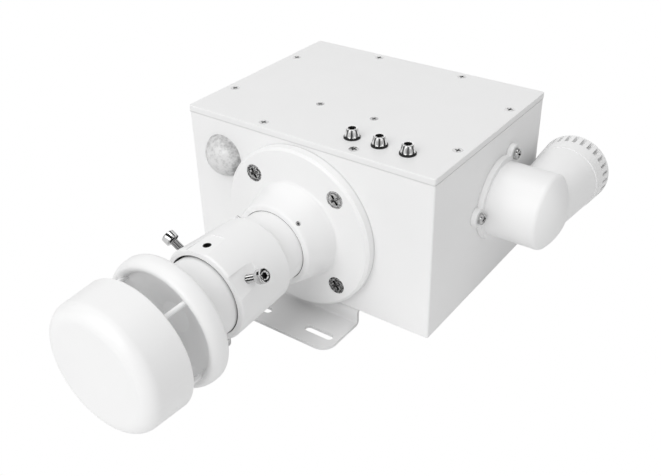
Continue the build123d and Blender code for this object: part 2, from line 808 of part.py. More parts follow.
with BuildPart() as sensor_dish:
    with BuildSketch(section_of(head_face)) as dish_profile:
        with BuildLine():
            Polyline(
                (0, dish_floor_reach),
                (0, dish_start - dish_spigot),
                (spigot_radius, dish_start - dish_spigot),
                (spigot_radius, dish_start),
                (dish_radius, dish_start),
                (dish_radius, dish_side_reach),
            )
            EllipticalCenterArc(
                (dish_crest_radius, dish_side_reach),
                dish_radius - dish_crest_radius,
                dish_edge_height,
                start_angle=0,
                arc_size=90,
            )
            EllipticalCenterArc(
                (dish_crest_radius, dish_bowl_reach),
                dish_crest_radius - dish_bowl_radius,
                dish_bowl_depth,
                start_angle=90,
                arc_size=90,
            )
            Polyline(
                (dish_bowl_radius, dish_bowl_reach),
                (dish_floor_radius, dish_floor_reach),
                (0, dish_floor_reach),
            )
        make_face()
        fillet(corner(dish_profile, dish_radius, dish_start), dish_back_rounding)
    revolve(axis=axis_of(head_face))
    with BuildSketch(head_face.offset(dish_bowl_reach - pillar_sink)):
        with PolarLocations(pillar_circle_radius, pillar_count, start_angle=pillar_first_angle):
            Circle(pillar_radius + running_gap)
    extrude(amount=pillar_sink + dish_bowl_depth, mode=Mode.SUBTRACT)
sensor_dish.part.label = "sensor_dish"
export_step(sensor_dish.part, "parts/sensor_dish.step")

cap_base_start = cap_start + cap_base_recess
cap_base_end = cap_base_start + cap_base_thickness
pillar_start = dish_bowl_reach - pillar_sink
pillar_end = cap_base_start + pillar_sink - clear_gap
for number in range(pillar_count):
    pillar_angle = pillar_first_angle + number * 360 / pillar_count
    with BuildPart() as cap_pillar:
        with BuildSketch(head_face.offset(pillar_start)):
            with PolarLocations(pillar_circle_radius, 1, start_angle=pillar_angle):
                Circle(pillar_radius)
        extrude(amount=pillar_end - pillar_start)
    cap_pillar.part.label = f"cap_pillar_{number + 1}"
    export_step(cap_pillar.part, f"parts/cap_pillar_{number + 1}.step")

cap_bore_radius = cap_back_radius - cap_wall
cap_flat_radius = cap_front_radius - cap_edge_width
cap_edge_height = cap_end - cap_edge_reach
with BuildPart() as sensor_cap:
    with BuildSketch(section_of(head_face)) as cap_profile:
        with BuildLine():
            Polyline(
                (cap_front_radius, cap_edge_reach),
                (cap_back_radius, cap_start),
                (cap_bore_radius, cap_start),
                (cap_bore_radius, cap_base_end),
                (cap_bore_radius - cap_ledge, cap_base_end),
                (cap_bore_radius - cap_ledge, cap_edge_reach),
            )
            Line((cap_bore_radius - cap_ledge, cap_edge_reach), (cap_flat_radius, cap_end - cap_wall))
            Polyline((cap_flat_radius, cap_end - cap_wall), (0, cap_end - cap_wall), (0, cap_end))
            Line((0, cap_end), (cap_flat_radius, cap_end))
            EllipticalCenterArc(
                (cap_flat_radius, cap_edge_reach),
                cap_edge_width,
                cap_edge_height,
                start_angle=0,
                arc_size=90,
            )
        make_face()
        fillet(corner(cap_profile, cap_back_radius, cap_start), cap_rim_rounding)
    revolve(axis=axis_of(head_face))
sensor_cap.part.label = "sensor_cap"
export_step(sensor_cap.part, "parts/sensor_cap.step")

with BuildPart() as cap_base:
    with BuildSketch(head_face.offset(cap_base_start)):
        Circle(cap_bore_radius - running_gap)
        with PolarLocations(transducer_circle_radius, pillar_count, start_angle=transducer_first_angle):
            Circle(transducer_radius + running_gap, mode=Mode.SUBTRACT)
    extrude(amount=cap_base_thickness)
    with BuildSketch(head_face.offset(cap_base_start)):
        with PolarLocations(pillar_circle_radius, pillar_count, start_angle=pillar_first_angle):
            Circle(pillar_radius + running_gap)
    extrude(amount=pillar_sink - clear_gap, mode=Mode.SUBTRACT)
cap_base.part.label = "cap_base"
export_step(cap_base.part, "parts/cap_base.step")

for number in range(pillar_count):
    transducer_angle = transducer_first_angle + number * 360 / pillar_count
    with BuildPart() as transducer:
        with BuildSketch(head_face.offset(cap_base_start)):
            with PolarLocations(transducer_circle_radius, 1, start_angle=transducer_angle):
                Circle(transducer_radius)
        extrude(amount=transducer_height)
        with BuildSketch(head_face.offset(cap_base_end)):
            with PolarLocations(transducer_circle_radius, 1, start_angle=transducer_angle):
                Circle(transducer_radius + transducer_flange)
        extrude(amount=transducer_flange_height)
    transducer.part.label = f"transducer_{number + 1}"
    export_step(transducer.part, f"parts/transducer_{number + 1}.step")

with BuildPart() as sensor_head_board:
    with BuildSketch(head_face.offset(cap_base_start + transducer_height)):
        Circle(head_board_radius)
    extrude(amount=board_thickness)
sensor_head_board.part.label = "sensor_head_board"
export_step(sensor_head_board.part, "parts/sensor_head_board.step")

# Air inlet: closed drum on a foot with three ears, and a second leg that points to the back
inlet_foot_top = inlet_gasket_height + inlet_foot_height
leg_face = Plane(origin=(right_x + leg_reach, inlet_y, inlet_z), x_dir=(-1, 0, 0), z_dir=(0, 1, 0))
leg_length = leg_end - inlet_y - leg_cap_length
drum_bore_radius = drum_radius - drum_wall
drum_sphere = crown_sphere(drum_radius, drum_reach - drum_straight_reach)
drum_inner_sphere = drum_sphere - drum_wall
drum_inner_reach = drum_reach - drum_wall
drum_bore_reach = drum_reach - drum_sphere + sqrt(drum_inner_sphere ** 2 - drum_bore_radius ** 2)
with BuildPart() as inlet_elbow:
    with BuildSketch(section_of(inlet_face)) as drum_profile:
        with BuildLine():
            Polyline(
                (0, drum_reach),
                (0, inlet_gasket_height),
                (inlet_foot_radius, inlet_gasket_height),
                (inlet_foot_radius, inlet_foot_top),
                (drum_radius, inlet_foot_top),
                (drum_radius, drum_straight_reach),
            )
            ThreePointArc(
                (drum_radius, drum_straight_reach),
                crown_middle(drum_radius, drum_reach, drum_sphere),
                (0, drum_reach),
            )
        make_face()
        fillet(corner(drum_profile, drum_radius, drum_straight_reach), drum_edge_rounding)
    revolve(axis=axis_of(inlet_face))
    with BuildSketch(inlet_face.offset(inlet_gasket_height)):
        with PolarLocations(inlet_screw_circle_radius, 3, start_angle=inlet_screw_first_angle):
            Circle(inlet_ear_radius)
    extrude(amount=inlet_foot_height)
    with BuildSketch(section_of(leg_face)):
        Polygon(
            (0, 0),
            (leg_start_radius, 0),
            (leg_radius, leg_length),
            (leg_spigot_radius, leg_length),
            (leg_spigot_radius, leg_length + leg_spigot_length),
            (0, leg_length + leg_spigot_length),
            align=None,
        )
    revolve(axis=axis_of(leg_face))
    with BuildSketch(section_of(inlet_face)):
        with BuildLine():
            Polyline(
                (0, drum_inner_reach),
                (0, inlet_gasket_height),
                (drum_bore_radius, inlet_gasket_height),
                (drum_bore_radius, drum_bore_reach),
            )
            ThreePointArc(
                (drum_bore_radius, drum_bore_reach),
                crown_middle(drum_bore_radius, drum_inner_reach, drum_inner_sphere),
                (0, drum_inner_reach),
            )
        make_face()
    revolve(axis=axis_of(inlet_face), mode=Mode.SUBTRACT)
    with BuildSketch(leg_face):
        Circle(leg_bore_radius)
    extrude(amount=leg_length + leg_spigot_length, mode=Mode.SUBTRACT)
    with BuildSketch(inlet_face):
        with PolarLocations(inlet_screw_circle_radius, 3, start_angle=inlet_screw_first_angle):
            Circle(inlet_screw_radius + running_gap)
    extrude(amount=inlet_foot_top, mode=Mode.SUBTRACT)
inlet_elbow.part.label = "inlet_elbow"
export_step(inlet_elbow.part, "parts/inlet_elbow.step")

with BuildPart() as inlet_gasket:
    with BuildSketch(inlet_face):
        Circle(inlet_foot_radius)
        with PolarLocations(inlet_screw_circle_radius, 3, start_angle=inlet_screw_first_angle):
            Circle(inlet_ear_radius)
            Circle(inlet_screw_radius + running_gap, mode=Mode.SUBTRACT)
        Circle(drum_bore_radius, mode=Mode.SUBTRACT)
    extrude(amount=inlet_gasket_height)
inlet_gasket.part.label = "inlet_gasket"
export_step(inlet_gasket.part, "parts/inlet_gasket.step")

with BuildPart(inlet_face.offset(inlet_foot_top)) as inlet_screws:
    with PolarLocations(inlet_screw_circle_radius, 3, start_angle=inlet_screw_first_angle):
        add(pan_screw(inlet_screw_radius, inlet_head_radius, inlet_head_height, inlet_screw_length))
inlet_screws.part.label = "inlet_screws"
export_step(inlet_screws.part, "parts/inlet_screws.step")

# End cap of the inlet: closed cup with slots round its rim, lined with a mesh sleeve
cap_seat = leg_face.offset(leg_length)
slot_start = leg_cap_length - leg_cap_end_wall - cap_slot_length
with BuildPart() as inlet_cap:
    with BuildSketch(section_of(cap_seat)):
        Polygon(
            (0, 0),
            (leg_cap_mouth_radius, 0),
            (leg_cap_radius, leg_cap_length),
            (0, leg_cap_length),
            align=None,
        )
    revolve(axis=axis_of(cap_seat))
    fillet(inlet_cap.faces().sort_by(Axis.Y)[-1].edges(), leg_cap_rounding)
    with BuildSketch(cap_seat):
        Circle(leg_spigot_radius + running_gap)
    extrude(amount=leg_cap_length - leg_cap_end_wall, mode=Mode.SUBTRACT)
    with BuildSketch(cap_seat.offset(slot_start)):
        with PolarLocations(leg_cap_radius, cap_slot_count):
            Rectangle(2 * (leg_cap_radius - leg_spigot_radius), cap_slot_width)
    extrude(amount=cap_slot_length, mode=Mode.SUBTRACT)
inlet_cap.part.label = "inlet_cap"
export_step(inlet_cap.part, "parts/inlet_cap.step")

with BuildPart() as inlet_mesh:
    with BuildSketch(cap_seat.offset(leg_spigot_length)):
        Circle(leg_spigot_radius)
        Circle(leg_spigot_radius - mesh_thickness, mode=Mode.SUBTRACT)
    extrude(amount=leg_cap_length - leg_cap_end_wall - leg_spigot_length)
inlet_mesh.part.label = "inlet_mesh"
export_step(inlet_mesh.part, "parts/inlet_mesh.step")

# Air outlet: low louvred cover, held by the screws that also carry the fan
with BuildPart() as outlet_vent:
    with BuildSketch(outlet_face):
        RectangleRounded(outlet_size, outlet_size, outlet_corner_radius)
    extrude(amount=outlet_height, taper=outlet_taper)
    with BuildSketch(outlet_face):
        with GridLocations(1, outlet_louvre_spacing, 1, outlet_louvre_count):
            SlotOverall(outlet_louvre_length, outlet_louvre_width)
        with GridLocations(fan_screw_spacing, fan_screw_spacing, 2, 2):
            Circle(m3_radius + running_gap)
    extrude(amount=outlet_height, mode=Mode.SUBTRACT)
outlet_vent.part.label = "outlet_vent"
export_step(outlet_vent.part, "parts/outlet_vent.step")

with BuildPart(outlet_face.offset(outlet_height)) as outlet_screws:
    with GridLocations(fan_screw_spacing, fan_screw_spacing, 2, 2):
        add(pan_screw(m3_radius, m3_pan_radius, m3_pan_height, fan_screw_length))
outlet_screws.part.label = "outlet_screws"
export_step(outlet_screws.part, "parts/outlet_screws.step")

# Fan on the inside of the left wall
fan_face = outlet_face.offset(-wall)
with BuildPart() as fan_frame:
    with BuildSketch(fan_face):
        RectangleRounded(fan_size, fan_size, fan_corner_radius)
        Circle(fan_bore_radius, mode=Mode.SUBTRACT)
    extrude(amount=-fan_depth)
    with BuildSketch(fan_face):
        Circle(fan_mount_radius)
        with PolarLocations(0, 4, start_angle=45):
            Rectangle(fan_bore_radius + fan_strut_overlap, fan_strut_width, align=(Align.MIN, Align.CENTER))
    extrude(amount=-fan_mount_depth)
    with BuildSketch(fan_face.offset(-fan_mount_depth)):
        Circle(fan_post_radius)
    extrude(amount=-fan_post_length)
    with BuildSketch(fan_face):
        with GridLocations(fan_screw_spacing, fan_screw_spacing, 2, 2):
            Circle(m3_radius + running_gap)
    extrude(amount=-fan_depth, mode=Mode.SUBTRACT)
fan_frame.part.label = "fan_frame"
export_step(fan_frame.part, "parts/fan_frame.step")

rotor_face = fan_face.offset(-fan_mount_depth - clear_gap)
rotor_height = fan_depth - fan_mount_depth - 2 * clear_gap
with BuildPart() as fan_rotor:
    with BuildSketch(rotor_face):
        Circle(fan_hub_radius)
    extrude(amount=-rotor_height)
    with BuildSketch(rotor_face):
        Circle(fan_hub_radius - fan_hub_wall)
        Circle(fan_post_radius + running_gap + fan_hub_wall, mode=Mode.SUBTRACT)
    extrude(amount=fan_hub_wall - rotor_height, mode=Mode.SUBTRACT)
    with BuildSketch(rotor_face):
        Circle(fan_post_radius + running_gap)
    extrude(amount=-fan_post_length, mode=Mode.SUBTRACT)
    blade_length = fan_blade_radius - fan_hub_radius + fan_hub_wall
    for number in range(fan_blade_count):
        blade_plane = side_plane(rotor_face, -rotor_height / 2, number * 360 / fan_blade_count)
        with BuildSketch(blade_plane.offset(fan_hub_radius - fan_hub_wall)):
            Rectangle(fan_blade_width, fan_blade_thickness, rotation=fan_blade_angle)
        extrude(amount=blade_length)
fan_rotor.part.label = "fan_rotor"
export_step(fan_rotor.part, "parts/fan_rotor.step")

# Main board on its bosses, with chips, terminals and the particle sensor
board_bottom = floor_top + main_boss_height
board_top = board_bottom + board_thickness
with BuildPart() as main_board:
    with BuildSketch(Plane.XY.offset(board_bottom)):
        Rectangle(main_board_width, main_board_depth)
        with GridLocations(main_screw_x, main_screw_y, 2, 2):
            Circle(m3_radius + running_gap, mode=Mode.SUBTRACT)
    extrude(amount=board_thickness)
    with BuildSketch(Plane.XY.offset(board_top)):
        with Locations((-chip_spacing, -chip_size), (0, -2 * chip_size), (chip_spacing, -2 * chip_size)):
            Rectangle(chip_size, chip_size)
    extrude(amount=chip_height)
main_board.part.label = "main_board"
export_step(main_board.part, "parts/main_board.step")

with BuildPart(Plane.XY.offset(board_top)) as board_screws:
    with GridLocations(main_screw_x, main_screw_y, 2, 2):
        add(pan_screw(m3_radius, m3_pan_radius, m3_pan_height, board_screw_length))
board_screws.part.label = "board_screws"
export_step(board_screws.part, "parts/board_screws.step")

terminal_pitch = terminal_width / terminal_ways
with BuildPart() as terminal_block:
    with BuildSketch(Plane((terminal_x, terminal_y, board_top))):
        Rectangle(terminal_width, terminal_depth)
    extrude(amount=terminal_height)
    with BuildSketch(Plane((terminal_x, terminal_y, board_top + terminal_height))):
        with GridLocations(terminal_pitch, 1, terminal_ways, 1):
            Circle(terminal_hole_radius)
    extrude(amount=-terminal_height / 2, mode=Mode.SUBTRACT)
terminal_block.part.label = "terminal_block"
export_step(terminal_block.part, "parts/terminal_block.step")

with BuildPart() as particle_sensor:
    with BuildSketch(Plane((particle_x, particle_y, board_top))):
        Rectangle(particle_width, particle_depth)
    extrude(amount=particle_height)
    fillet(particle_sensor.edges().filter_by(Axis.Z), board_thickness)
    with BuildSketch(Plane((particle_x, particle_y, board_top + particle_height))):
        with GridLocations(particle_width / 2, 1, 2, 1):
            Circle(particle_port_radius)
    extrude(amount=-particle_height / 2, mode=Mode.SUBTRACT)
particle_sensor.part.label = "particle_sensor"
export_step(particle_sensor.part, "parts/particle_sensor.step")

# Cable gland on the back wall
gland_end = gland_hex_height + gland_neck_length
with BuildPart() as gland_body:
    with BuildSketch(gland_face):
        RegularPolygon(gland_flats / 2, 6, major_radius=False)
    extrude(amount=gland_hex_height)
    with BuildSketch(gland_face.offset(gland_end)):
        Circle(gland_thread_radius)
    extrude(amount=-gland_end - gland_thread_inside)
    with BuildSketch(gland_face.offset(gland_end)):
        Circle(gland_bore_radius)
    extrude(amount=-gland_end - gland_thread_inside, mode=Mode.SUBTRACT)
    with BuildSketch(gland_face.offset(gland_end)):
        Circle(gland_seal_wall_radius + running_gap)
    extrude(amount=-gland_neck_length, mode=Mode.SUBTRACT)
gland_body.part.label = "gland_body"
export_step(gland_body.part, "parts/gland_body.step")

with BuildPart() as gland_seal:
    with BuildSketch(gland_face.offset(gland_hex_height)):
        Circle(gland_seal_wall_radius)
        Circle(gland_cable_radius, mode=Mode.SUBTRACT)
    extrude(amount=gland_neck_length)
gland_seal.part.label = "gland_seal"
export_step(gland_seal.part, "parts/gland_seal.step")

with BuildPart() as gland_nut:
    with BuildSketch(gland_face.offset(gland_hex_height)):
        RegularPolygon(gland_flats / 2, 6, major_radius=False)
    extrude(amount=gland_neck_length)
    with BuildSketch(gland_face.offset(gland_end)):
        Circle(gland_flats / 2)
    extrude(amount=gland_nut_length - gland_neck_length)
    fillet(gland_nut.edges().sort_by(Axis.Y)[-1], gland_nut_dome)
    with BuildSketch(gland_face.offset(gland_hex_height)):
        Circle(gland_thread_radius + running_gap)
    extrude(amount=gland_neck_length, mode=Mode.SUBTRACT)
    with BuildSketch(gland_face.offset(gland_end)):
        Circle(gland_bore_radius)
    extrude(amount=gland_nut_length - gland_neck_length, mode=Mode.SUBTRACT)
gland_nut.part.label = "gland_nut"
export_step(gland_nut.part, "parts/gland_nut.step")

with BuildPart() as gland_locknut:
    with BuildSketch(gland_face.offset(-wall)):
        RegularPolygon(gland_flats / 2, 6, major_radius=False)
        Circle(gland_thread_radius + running_gap, mode=Mode.SUBTRACT)
    extrude(amount=-gland_locknut_height)
gland_locknut.part.label = "gland_locknut"
export_step(gland_locknut.part, "parts/gland_locknut.step")

# Mounting bracket: one folded sheet, a raised plate between two slotted flanges
web_outside = box_depth / 2
with BuildPart() as mounting_bracket:
    with BuildSketch(Plane.YZ.offset(-bracket_width / 2)):
        with BuildLine():
            FilletPolyline(
                (-bracket_length / 2, bracket_thickness / 2),
                (-web_outside + bracket_thickness / 2, bracket_thickness / 2),
                (-web_outside + bracket_thickness / 2, bracket_height - bracket_thickness / 2),
                (web_outside - bracket_thickness / 2, bracket_height - bracket_thickness / 2),
                (web_outside - bracket_thickness / 2, bracket_thickness / 2),
                (bracket_length / 2, bracket_thickness / 2),
                radius=bend_radius + bracket_thickness / 2,
            )
        trace(line_width=bracket_thickness)
    extrude(amount=bracket_width)
    with BuildSketch(Plane.XY):
        with GridLocations(slot_spacing_x, slot_spacing_y, 2, 2):
            SlotOverall(slot_length, slot_width)
    extrude(amount=bracket_thickness, mode=Mode.SUBTRACT)
    with BuildSketch(Plane.XY.offset(bracket_height)):
        with GridLocations(bracket_screw_x, bracket_screw_y, 2, 2):
            Circle(m4_radius + running_gap)
    extrude(amount=-bracket_thickness, mode=Mode.SUBTRACT)
    fillet(
        mounting_bracket.edges().filter_by(Axis.Z).group_by(lambda edge: abs(edge.center().Y))[-1],
        bracket_corner_radius,
    )
mounting_bracket.part.label = "mounting_bracket"
export_step(mounting_bracket.part, "parts/mounting_bracket.step")

# Screws from below, through the bracket into the floor of the box
screw_seat = Plane.XY.offset(bracket_height - bracket_thickness)
with BuildPart(screw_seat.rotated((180, 0, 0))) as bracket_screws:
    with GridLocations(bracket_screw_x, bracket_screw_y, 2, 2):
        add(pan_screw(m4_radius, m4_pan_radius, m4_pan_height, bracket_screw_length))
bracket_screws.part.label = "bracket_screws"
export_step(bracket_screws.part, "parts/bracket_screws.step")
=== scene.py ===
"""Dress and light a compact weather station, as in the reference photograph.

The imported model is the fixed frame. Every visible surface gets a procedural finish, and the
bezels, the screws and the spare hole get finer meshes that ride on the same bodies.
"""
from __future__ import annotations

import json
import logging
import math
from dataclasses import dataclass, field
from enum import Enum
from typing import Callable, Sequence

import bmesh
import bpy
from mathutils import Euler, Matrix, Vector

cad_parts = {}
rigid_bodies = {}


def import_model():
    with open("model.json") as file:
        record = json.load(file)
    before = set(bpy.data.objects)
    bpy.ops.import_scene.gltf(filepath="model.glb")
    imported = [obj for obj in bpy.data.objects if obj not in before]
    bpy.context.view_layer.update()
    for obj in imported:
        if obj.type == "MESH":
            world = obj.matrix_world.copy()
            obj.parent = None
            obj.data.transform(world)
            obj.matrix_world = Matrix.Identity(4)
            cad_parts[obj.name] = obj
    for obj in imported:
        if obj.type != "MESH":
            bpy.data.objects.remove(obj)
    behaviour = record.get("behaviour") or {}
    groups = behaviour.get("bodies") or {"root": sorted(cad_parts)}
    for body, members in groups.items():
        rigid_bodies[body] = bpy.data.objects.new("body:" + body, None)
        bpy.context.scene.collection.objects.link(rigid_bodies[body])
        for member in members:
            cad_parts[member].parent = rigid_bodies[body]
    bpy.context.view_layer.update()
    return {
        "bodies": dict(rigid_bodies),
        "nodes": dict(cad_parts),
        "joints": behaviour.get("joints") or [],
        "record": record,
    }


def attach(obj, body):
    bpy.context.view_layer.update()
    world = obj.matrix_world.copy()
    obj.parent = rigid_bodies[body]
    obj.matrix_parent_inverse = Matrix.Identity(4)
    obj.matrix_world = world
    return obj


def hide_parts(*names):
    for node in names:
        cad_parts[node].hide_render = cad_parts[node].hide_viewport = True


LOG = logging.getLogger("weather_station")
MM = 0.001
# Corners closer than this, in metres, are one corner
MERGE_M = 0.000001
# Slack in mm where a height or radius is compared
SLACK_MM = 0.01
# Nearly all of a noise texture's values lie between these
NOISE_SPAN = (0.3, 0.7)
# Rays that feel for a recess at each point
RECESS_SAMPLES = 8
# Colour sockets of a mix node, which share their names and so go by number
MIX_A, MIX_B, MIX_RESULT = "6", "7", 2

Tree = bpy.types.NodeTree
Socket = bpy.types.NodeSocket
Point2 = tuple[float, float]
Point3 = tuple[float, float, float]


def linear(hex_colour: str) -> tuple[float, float, float, float]:
    """Turn an sRGB hex colour into a linear, opaque RGBA value.

    Args:
        hex_colour: Colour such as "#EBEBEB".

    Returns:
        The four linear channels.
    """
    channels = [int(hex_colour[i:i + 2], 16) / 255 for i in (1, 3, 5)]
    values = [c / 12.92 if c <= 0.04045 else ((c + 0.055) / 1.055) ** 2.4 for c in channels]
    return (values[0], values[1], values[2], 1.0)


def add_node(
    tree: Tree,
    kind: str,
    settings: dict[str, object] | None = None,
    links: dict[str, Socket] | None = None,
) -> bpy.types.Node:
    """Add one shader node with its settings and incoming links.

    Args:
        tree: Node tree that receives the node.
        kind: Node type, such as "ShaderNodeTexNoise".
        settings: Attribute names, input names or input numbers, with their values.
        links: Input names or input numbers, with the sockets that feed them.

    Returns:
        The new node.
    """
    node = tree.nodes.new(kind)
    for name, value in (settings or {}).items():
        if hasattr(node, name):
            setattr(node, name, value)
        else:
            node.inputs[int(name) if name.isdigit() else name].default_value = value
    for name, socket in (links or {}).items():
        tree.links.new(socket, node.inputs[int(name) if name.isdigit() else name])
    return node


@dataclass(frozen=True)
class Finish:
    """A surface finish, named for what it is and how it was made, and for any shade painted into
    it.

    The grain is the bump of the surface, the mottle a slow change of its tone, and the painted
    shade darkens recesses narrower than its reach, as ambient occlusion finds them. Their sizes
    are real ones in millimetres.
    """

    name: str
    colour: str
    roughness: float
    metallic: float = 0.0
    ior: float = 1.5
    grain_mm: float = 0.6
    grain_height_mm: float = 0.01
    mottle_mm: float = 60.0
    mottle: float = 0.02
    roughness_spread: float = 0.06
    coat: float = 0.0
    transmission: float = 0.0
    # Painted shade: how dark recesses get, how far to feel for them, the occlusion span, and
    # whether other parts count
    painted_shade: float = 0.0
    painted_shade_reach_mm: float = 0.5
    painted_shade_span: Point2 = (0.35, 0.85)
    painted_shade_between: bool = False
    # Size of the patches of gloss, as a share of the mottle's
    gloss_share: float = 0.3
    smoothest: float = 0.02

    def material(self) -> bpy.types.Material:
        """Build the finish's material the first time, and find it again afterwards.

        Returns:
            The material.
        """
        made = bpy.data.materials.get(self.name)
        if made is not None:
            return made
        made = bpy.data.materials.new(self.name)
        made.use_nodes = True
        tree = made.node_tree
        tree.nodes.clear()
        place = add_node(tree, "ShaderNodeTexCoord").outputs["Object"]
        shader = add_node(
            tree,
            "ShaderNodeBsdfPrincipled",
            {
                "Metallic": self.metallic,
                "IOR": self.ior,
                "Coat Weight": self.coat,
                "Transmission Weight": self.transmission,
            },
            {
                "Base Color": self.colour_of(tree, place),
                "Roughness": self.roughness_of(tree, place),
                "Normal": self.normal_of(tree, place),
            },
        )
        add_node(tree, "ShaderNodeOutputMaterial", links={"Surface": shader.outputs["BSDF"]})
        return made

    def colour_of(self, tree: Tree, place: Socket) -> Socket:
        """Mottle the colour a little, and paint shade into its recesses where the finish has
        painted shade.

        Args:
            tree: Node tree of the material.
            place: Coordinates on the piece, in metres.

        Returns:
            The colour.
        """
        noise = add_node(
            tree,
            "ShaderNodeTexNoise",
            {"Scale": 1 / (self.mottle_mm * MM), "Detail": 3.0, "Roughness": 0.55},
            {"Vector": place},
        )
        low, high = NOISE_SPAN
        spread = add_node(
            tree,
            "ShaderNodeMapRange",
            {"From Min": low, "From Max": high, "To Min": 1 - self.mottle, "To Max": 1.0},
            {"Value": noise.outputs["Fac"]},
        )
        tinted = add_node(
            tree,
            "ShaderNodeMix",
            {
                "data_type": "RGBA",
                "blend_type": "MULTIPLY",
                "Factor": 1.0,
                MIX_A: linear(self.colour),
            },
            {MIX_B: spread.outputs["Result"]},
        )
        if self.painted_shade <= 0:
            return tinted.outputs[MIX_RESULT]
        return self.paint_shade_in_recesses(tree, tinted.outputs[MIX_RESULT])

    def paint_shade_in_recesses(self, tree: Tree, colour: Socket) -> Socket:
        """Paint shade into a colour where ambient occlusion finds the surface in a recess.

        Args:
            tree: Node tree of the material.
            colour: The colour of the open surface.

        Returns:
            The darkened colour.
        """
        # Ambient occlusion paints shade into recesses, and also between parts where the finish
        # asks for it
        shade = add_node(
            tree,
            "ShaderNodeAmbientOcclusion",
            {
                "samples": RECESS_SAMPLES,
                "Distance": self.painted_shade_reach_mm * MM,
                "only_local": not self.painted_shade_between,
            },
        )
        low, high = self.painted_shade_span
        depth = add_node(
            tree,
            "ShaderNodeMapRange",
            {"From Min": low, "From Max": high, "To Min": 1 - self.painted_shade, "To Max": 1.0},
            {"Value": shade.outputs["AO"]},
        )
        darkened = add_node(
            tree,
            "ShaderNodeMix",
            {"data_type": "RGBA", "blend_type": "MULTIPLY", "Factor": 1.0},
            {MIX_A: colour, MIX_B: depth.outputs["Result"]},
        )
        return darkened.outputs[MIX_RESULT]

    def roughness_of(self, tree: Tree, place: Socket) -> Socket:
        """Vary the gloss gently over the surface.

        Args:
            tree: Node tree of the material.
            place: Coordinates on the piece, in metres.

        Returns:
            The roughness.
        """
        noise = add_node(
            tree,
            "ShaderNodeTexNoise",
            {"Scale": 1 / (self.mottle_mm * self.gloss_share * MM), "Detail": 2.0},
            {"Vector": place},
        )
        low, high = NOISE_SPAN
        spread = add_node(
            tree,
            "ShaderNodeMapRange",
            {
                "From Min": low,
                "From Max": high,
                "To Min": max(self.roughness - self.roughness_spread, self.smoothest),
                "To Max": self.roughness + self.roughness_spread,
            },
            {"Value": noise.outputs["Fac"]},
        )
        return spread.outputs["Result"]

    def height_of(self, tree: Tree, place: Socket) -> Socket:
        """Return the height pattern of the surface's grain.

        Args:
            tree: Node tree of the material.
            place: Coordinates on the piece, in metres.

        Returns:
            The height, from 0 to 1.
        """
        noise = add_node(
            tree,
            "ShaderNodeTexNoise",
            {"Scale": 1 / (self.grain_mm * MM), "Detail": 2.0},
            {"Vector": place},
        )
        return noise.outputs["Fac"]

    def normal_of(self, tree: Tree, place: Socket) -> Socket:
        """Raise the grain into a bump.

        Args:
            tree: Node tree of the material.
            place: Coordinates on the piece, in metres.

        Returns:
            The bumped normal.
        """
        bump = add_node(
            tree,
            "ShaderNodeBump",
            {"Strength": 1.0, "Distance": self.grain_height_mm * MM},
            {"Height": self.height_of(tree, place)},
        )
        return bump.outputs["Normal"]


@dataclass(frozen=True)
class FrostedLens(Finish):
    """Frosted lens moulded with small facets inside; the light they scatter is painted as patches
    of grey, with a painted glow in the middle.
    """

    transmission: float = 0.15
    bright: str = "#F0F0F0"
    facet_mm: float = 1.3
    facet_softness: float = 0.35
    facet_weight: float = 0.35
    # Size of the soft patches, as a multiple of a facet's
    patch_share: float = 2.5
    # The lens is painted brightest in its middle, a painted glow that falls off between these
    # shares of its rim
    centre_mm: Point3 = (-53.1, -64.0, 77.2)
    rim_mm: float = 12.0
    painted_glow_span: Point2 = (0.55, 1.02)
    painted_glow_lift: float = 0.45
    tone_span: Point2 = (0.4, 1.1)

    def colour_of(self, tree: Tree, place: Socket) -> Socket:
        """Give each facet its own grey, in soft patches, with a brighter middle: painted scattered
        light and a painted glow.

        Args:
            tree: Node tree of the material.
            place: Coordinates on the piece, in metres.

        Returns:
            The colour.
        """
        facets = add_node(
            tree,
            "ShaderNodeTexVoronoi",
            {
                "Scale": 1 / (self.facet_mm * MM),
                "feature": "SMOOTH_F1",
                "Smoothness": self.facet_softness,
            },
            {"Vector": place},
        )
        patches = add_node(
            tree,
            "ShaderNodeTexNoise",
            {"Scale": 1 / (self.facet_mm * self.patch_share * MM), "Detail": 3.0},
            {"Vector": place},
        )
        away = add_node(
            tree,
            "ShaderNodeVectorMath",
            {"operation": "DISTANCE", "1": Vector(self.centre_mm) * MM},
            {"0": place},
        )
        inner, outer = self.painted_glow_span
        middle = add_node(
            tree,
            "ShaderNodeMapRange",
            {
                "From Min": inner * self.rim_mm * MM,
                "From Max": outer * self.rim_mm * MM,
                "To Min": self.painted_glow_lift,
                "To Max": 0.0,
            },
            {"Value": away.outputs["Value"]},
        )
        both = add_node(
            tree,
            "ShaderNodeMath",
            {"operation": "MULTIPLY_ADD", "1": self.facet_weight},
            {"0": facets.outputs["Distance"], "2": patches.outputs["Fac"]},
        )
        whole = add_node(
            tree,
            "ShaderNodeMath",
            {"operation": "ADD"},
            {"0": both.outputs["Value"], "1": middle.outputs["Result"]},
        )
        low, high = self.tone_span
        tone = add_node(
            tree,
            "ShaderNodeMapRange",
            {"From Min": low, "From Max": high},
            {"Value": whole.outputs["Value"]},
        )
        mix = add_node(
            tree,
            "ShaderNodeMix",
            {"data_type": "RGBA", MIX_A: linear(self.colour), MIX_B: linear(self.bright)},
            {"Factor": tone.outputs["Result"]},
        )
        return mix.outputs[MIX_RESULT]

    def height_of(self, tree: Tree, place: Socket) -> Socket:
        """Return the facets' edges as the height.

        Args:
            tree: Node tree of the material.
            place: Coordinates on the piece, in metres.

        Returns:
            The height, from 0 at an edge.
        """
        facets = add_node(
            tree,
            "ShaderNodeTexVoronoi",
            {"Scale": 1 / (self.facet_mm * MM), "feature": "DISTANCE_TO_EDGE"},
            {"Vector": place},
        )
        return facets.outputs["Distance"]


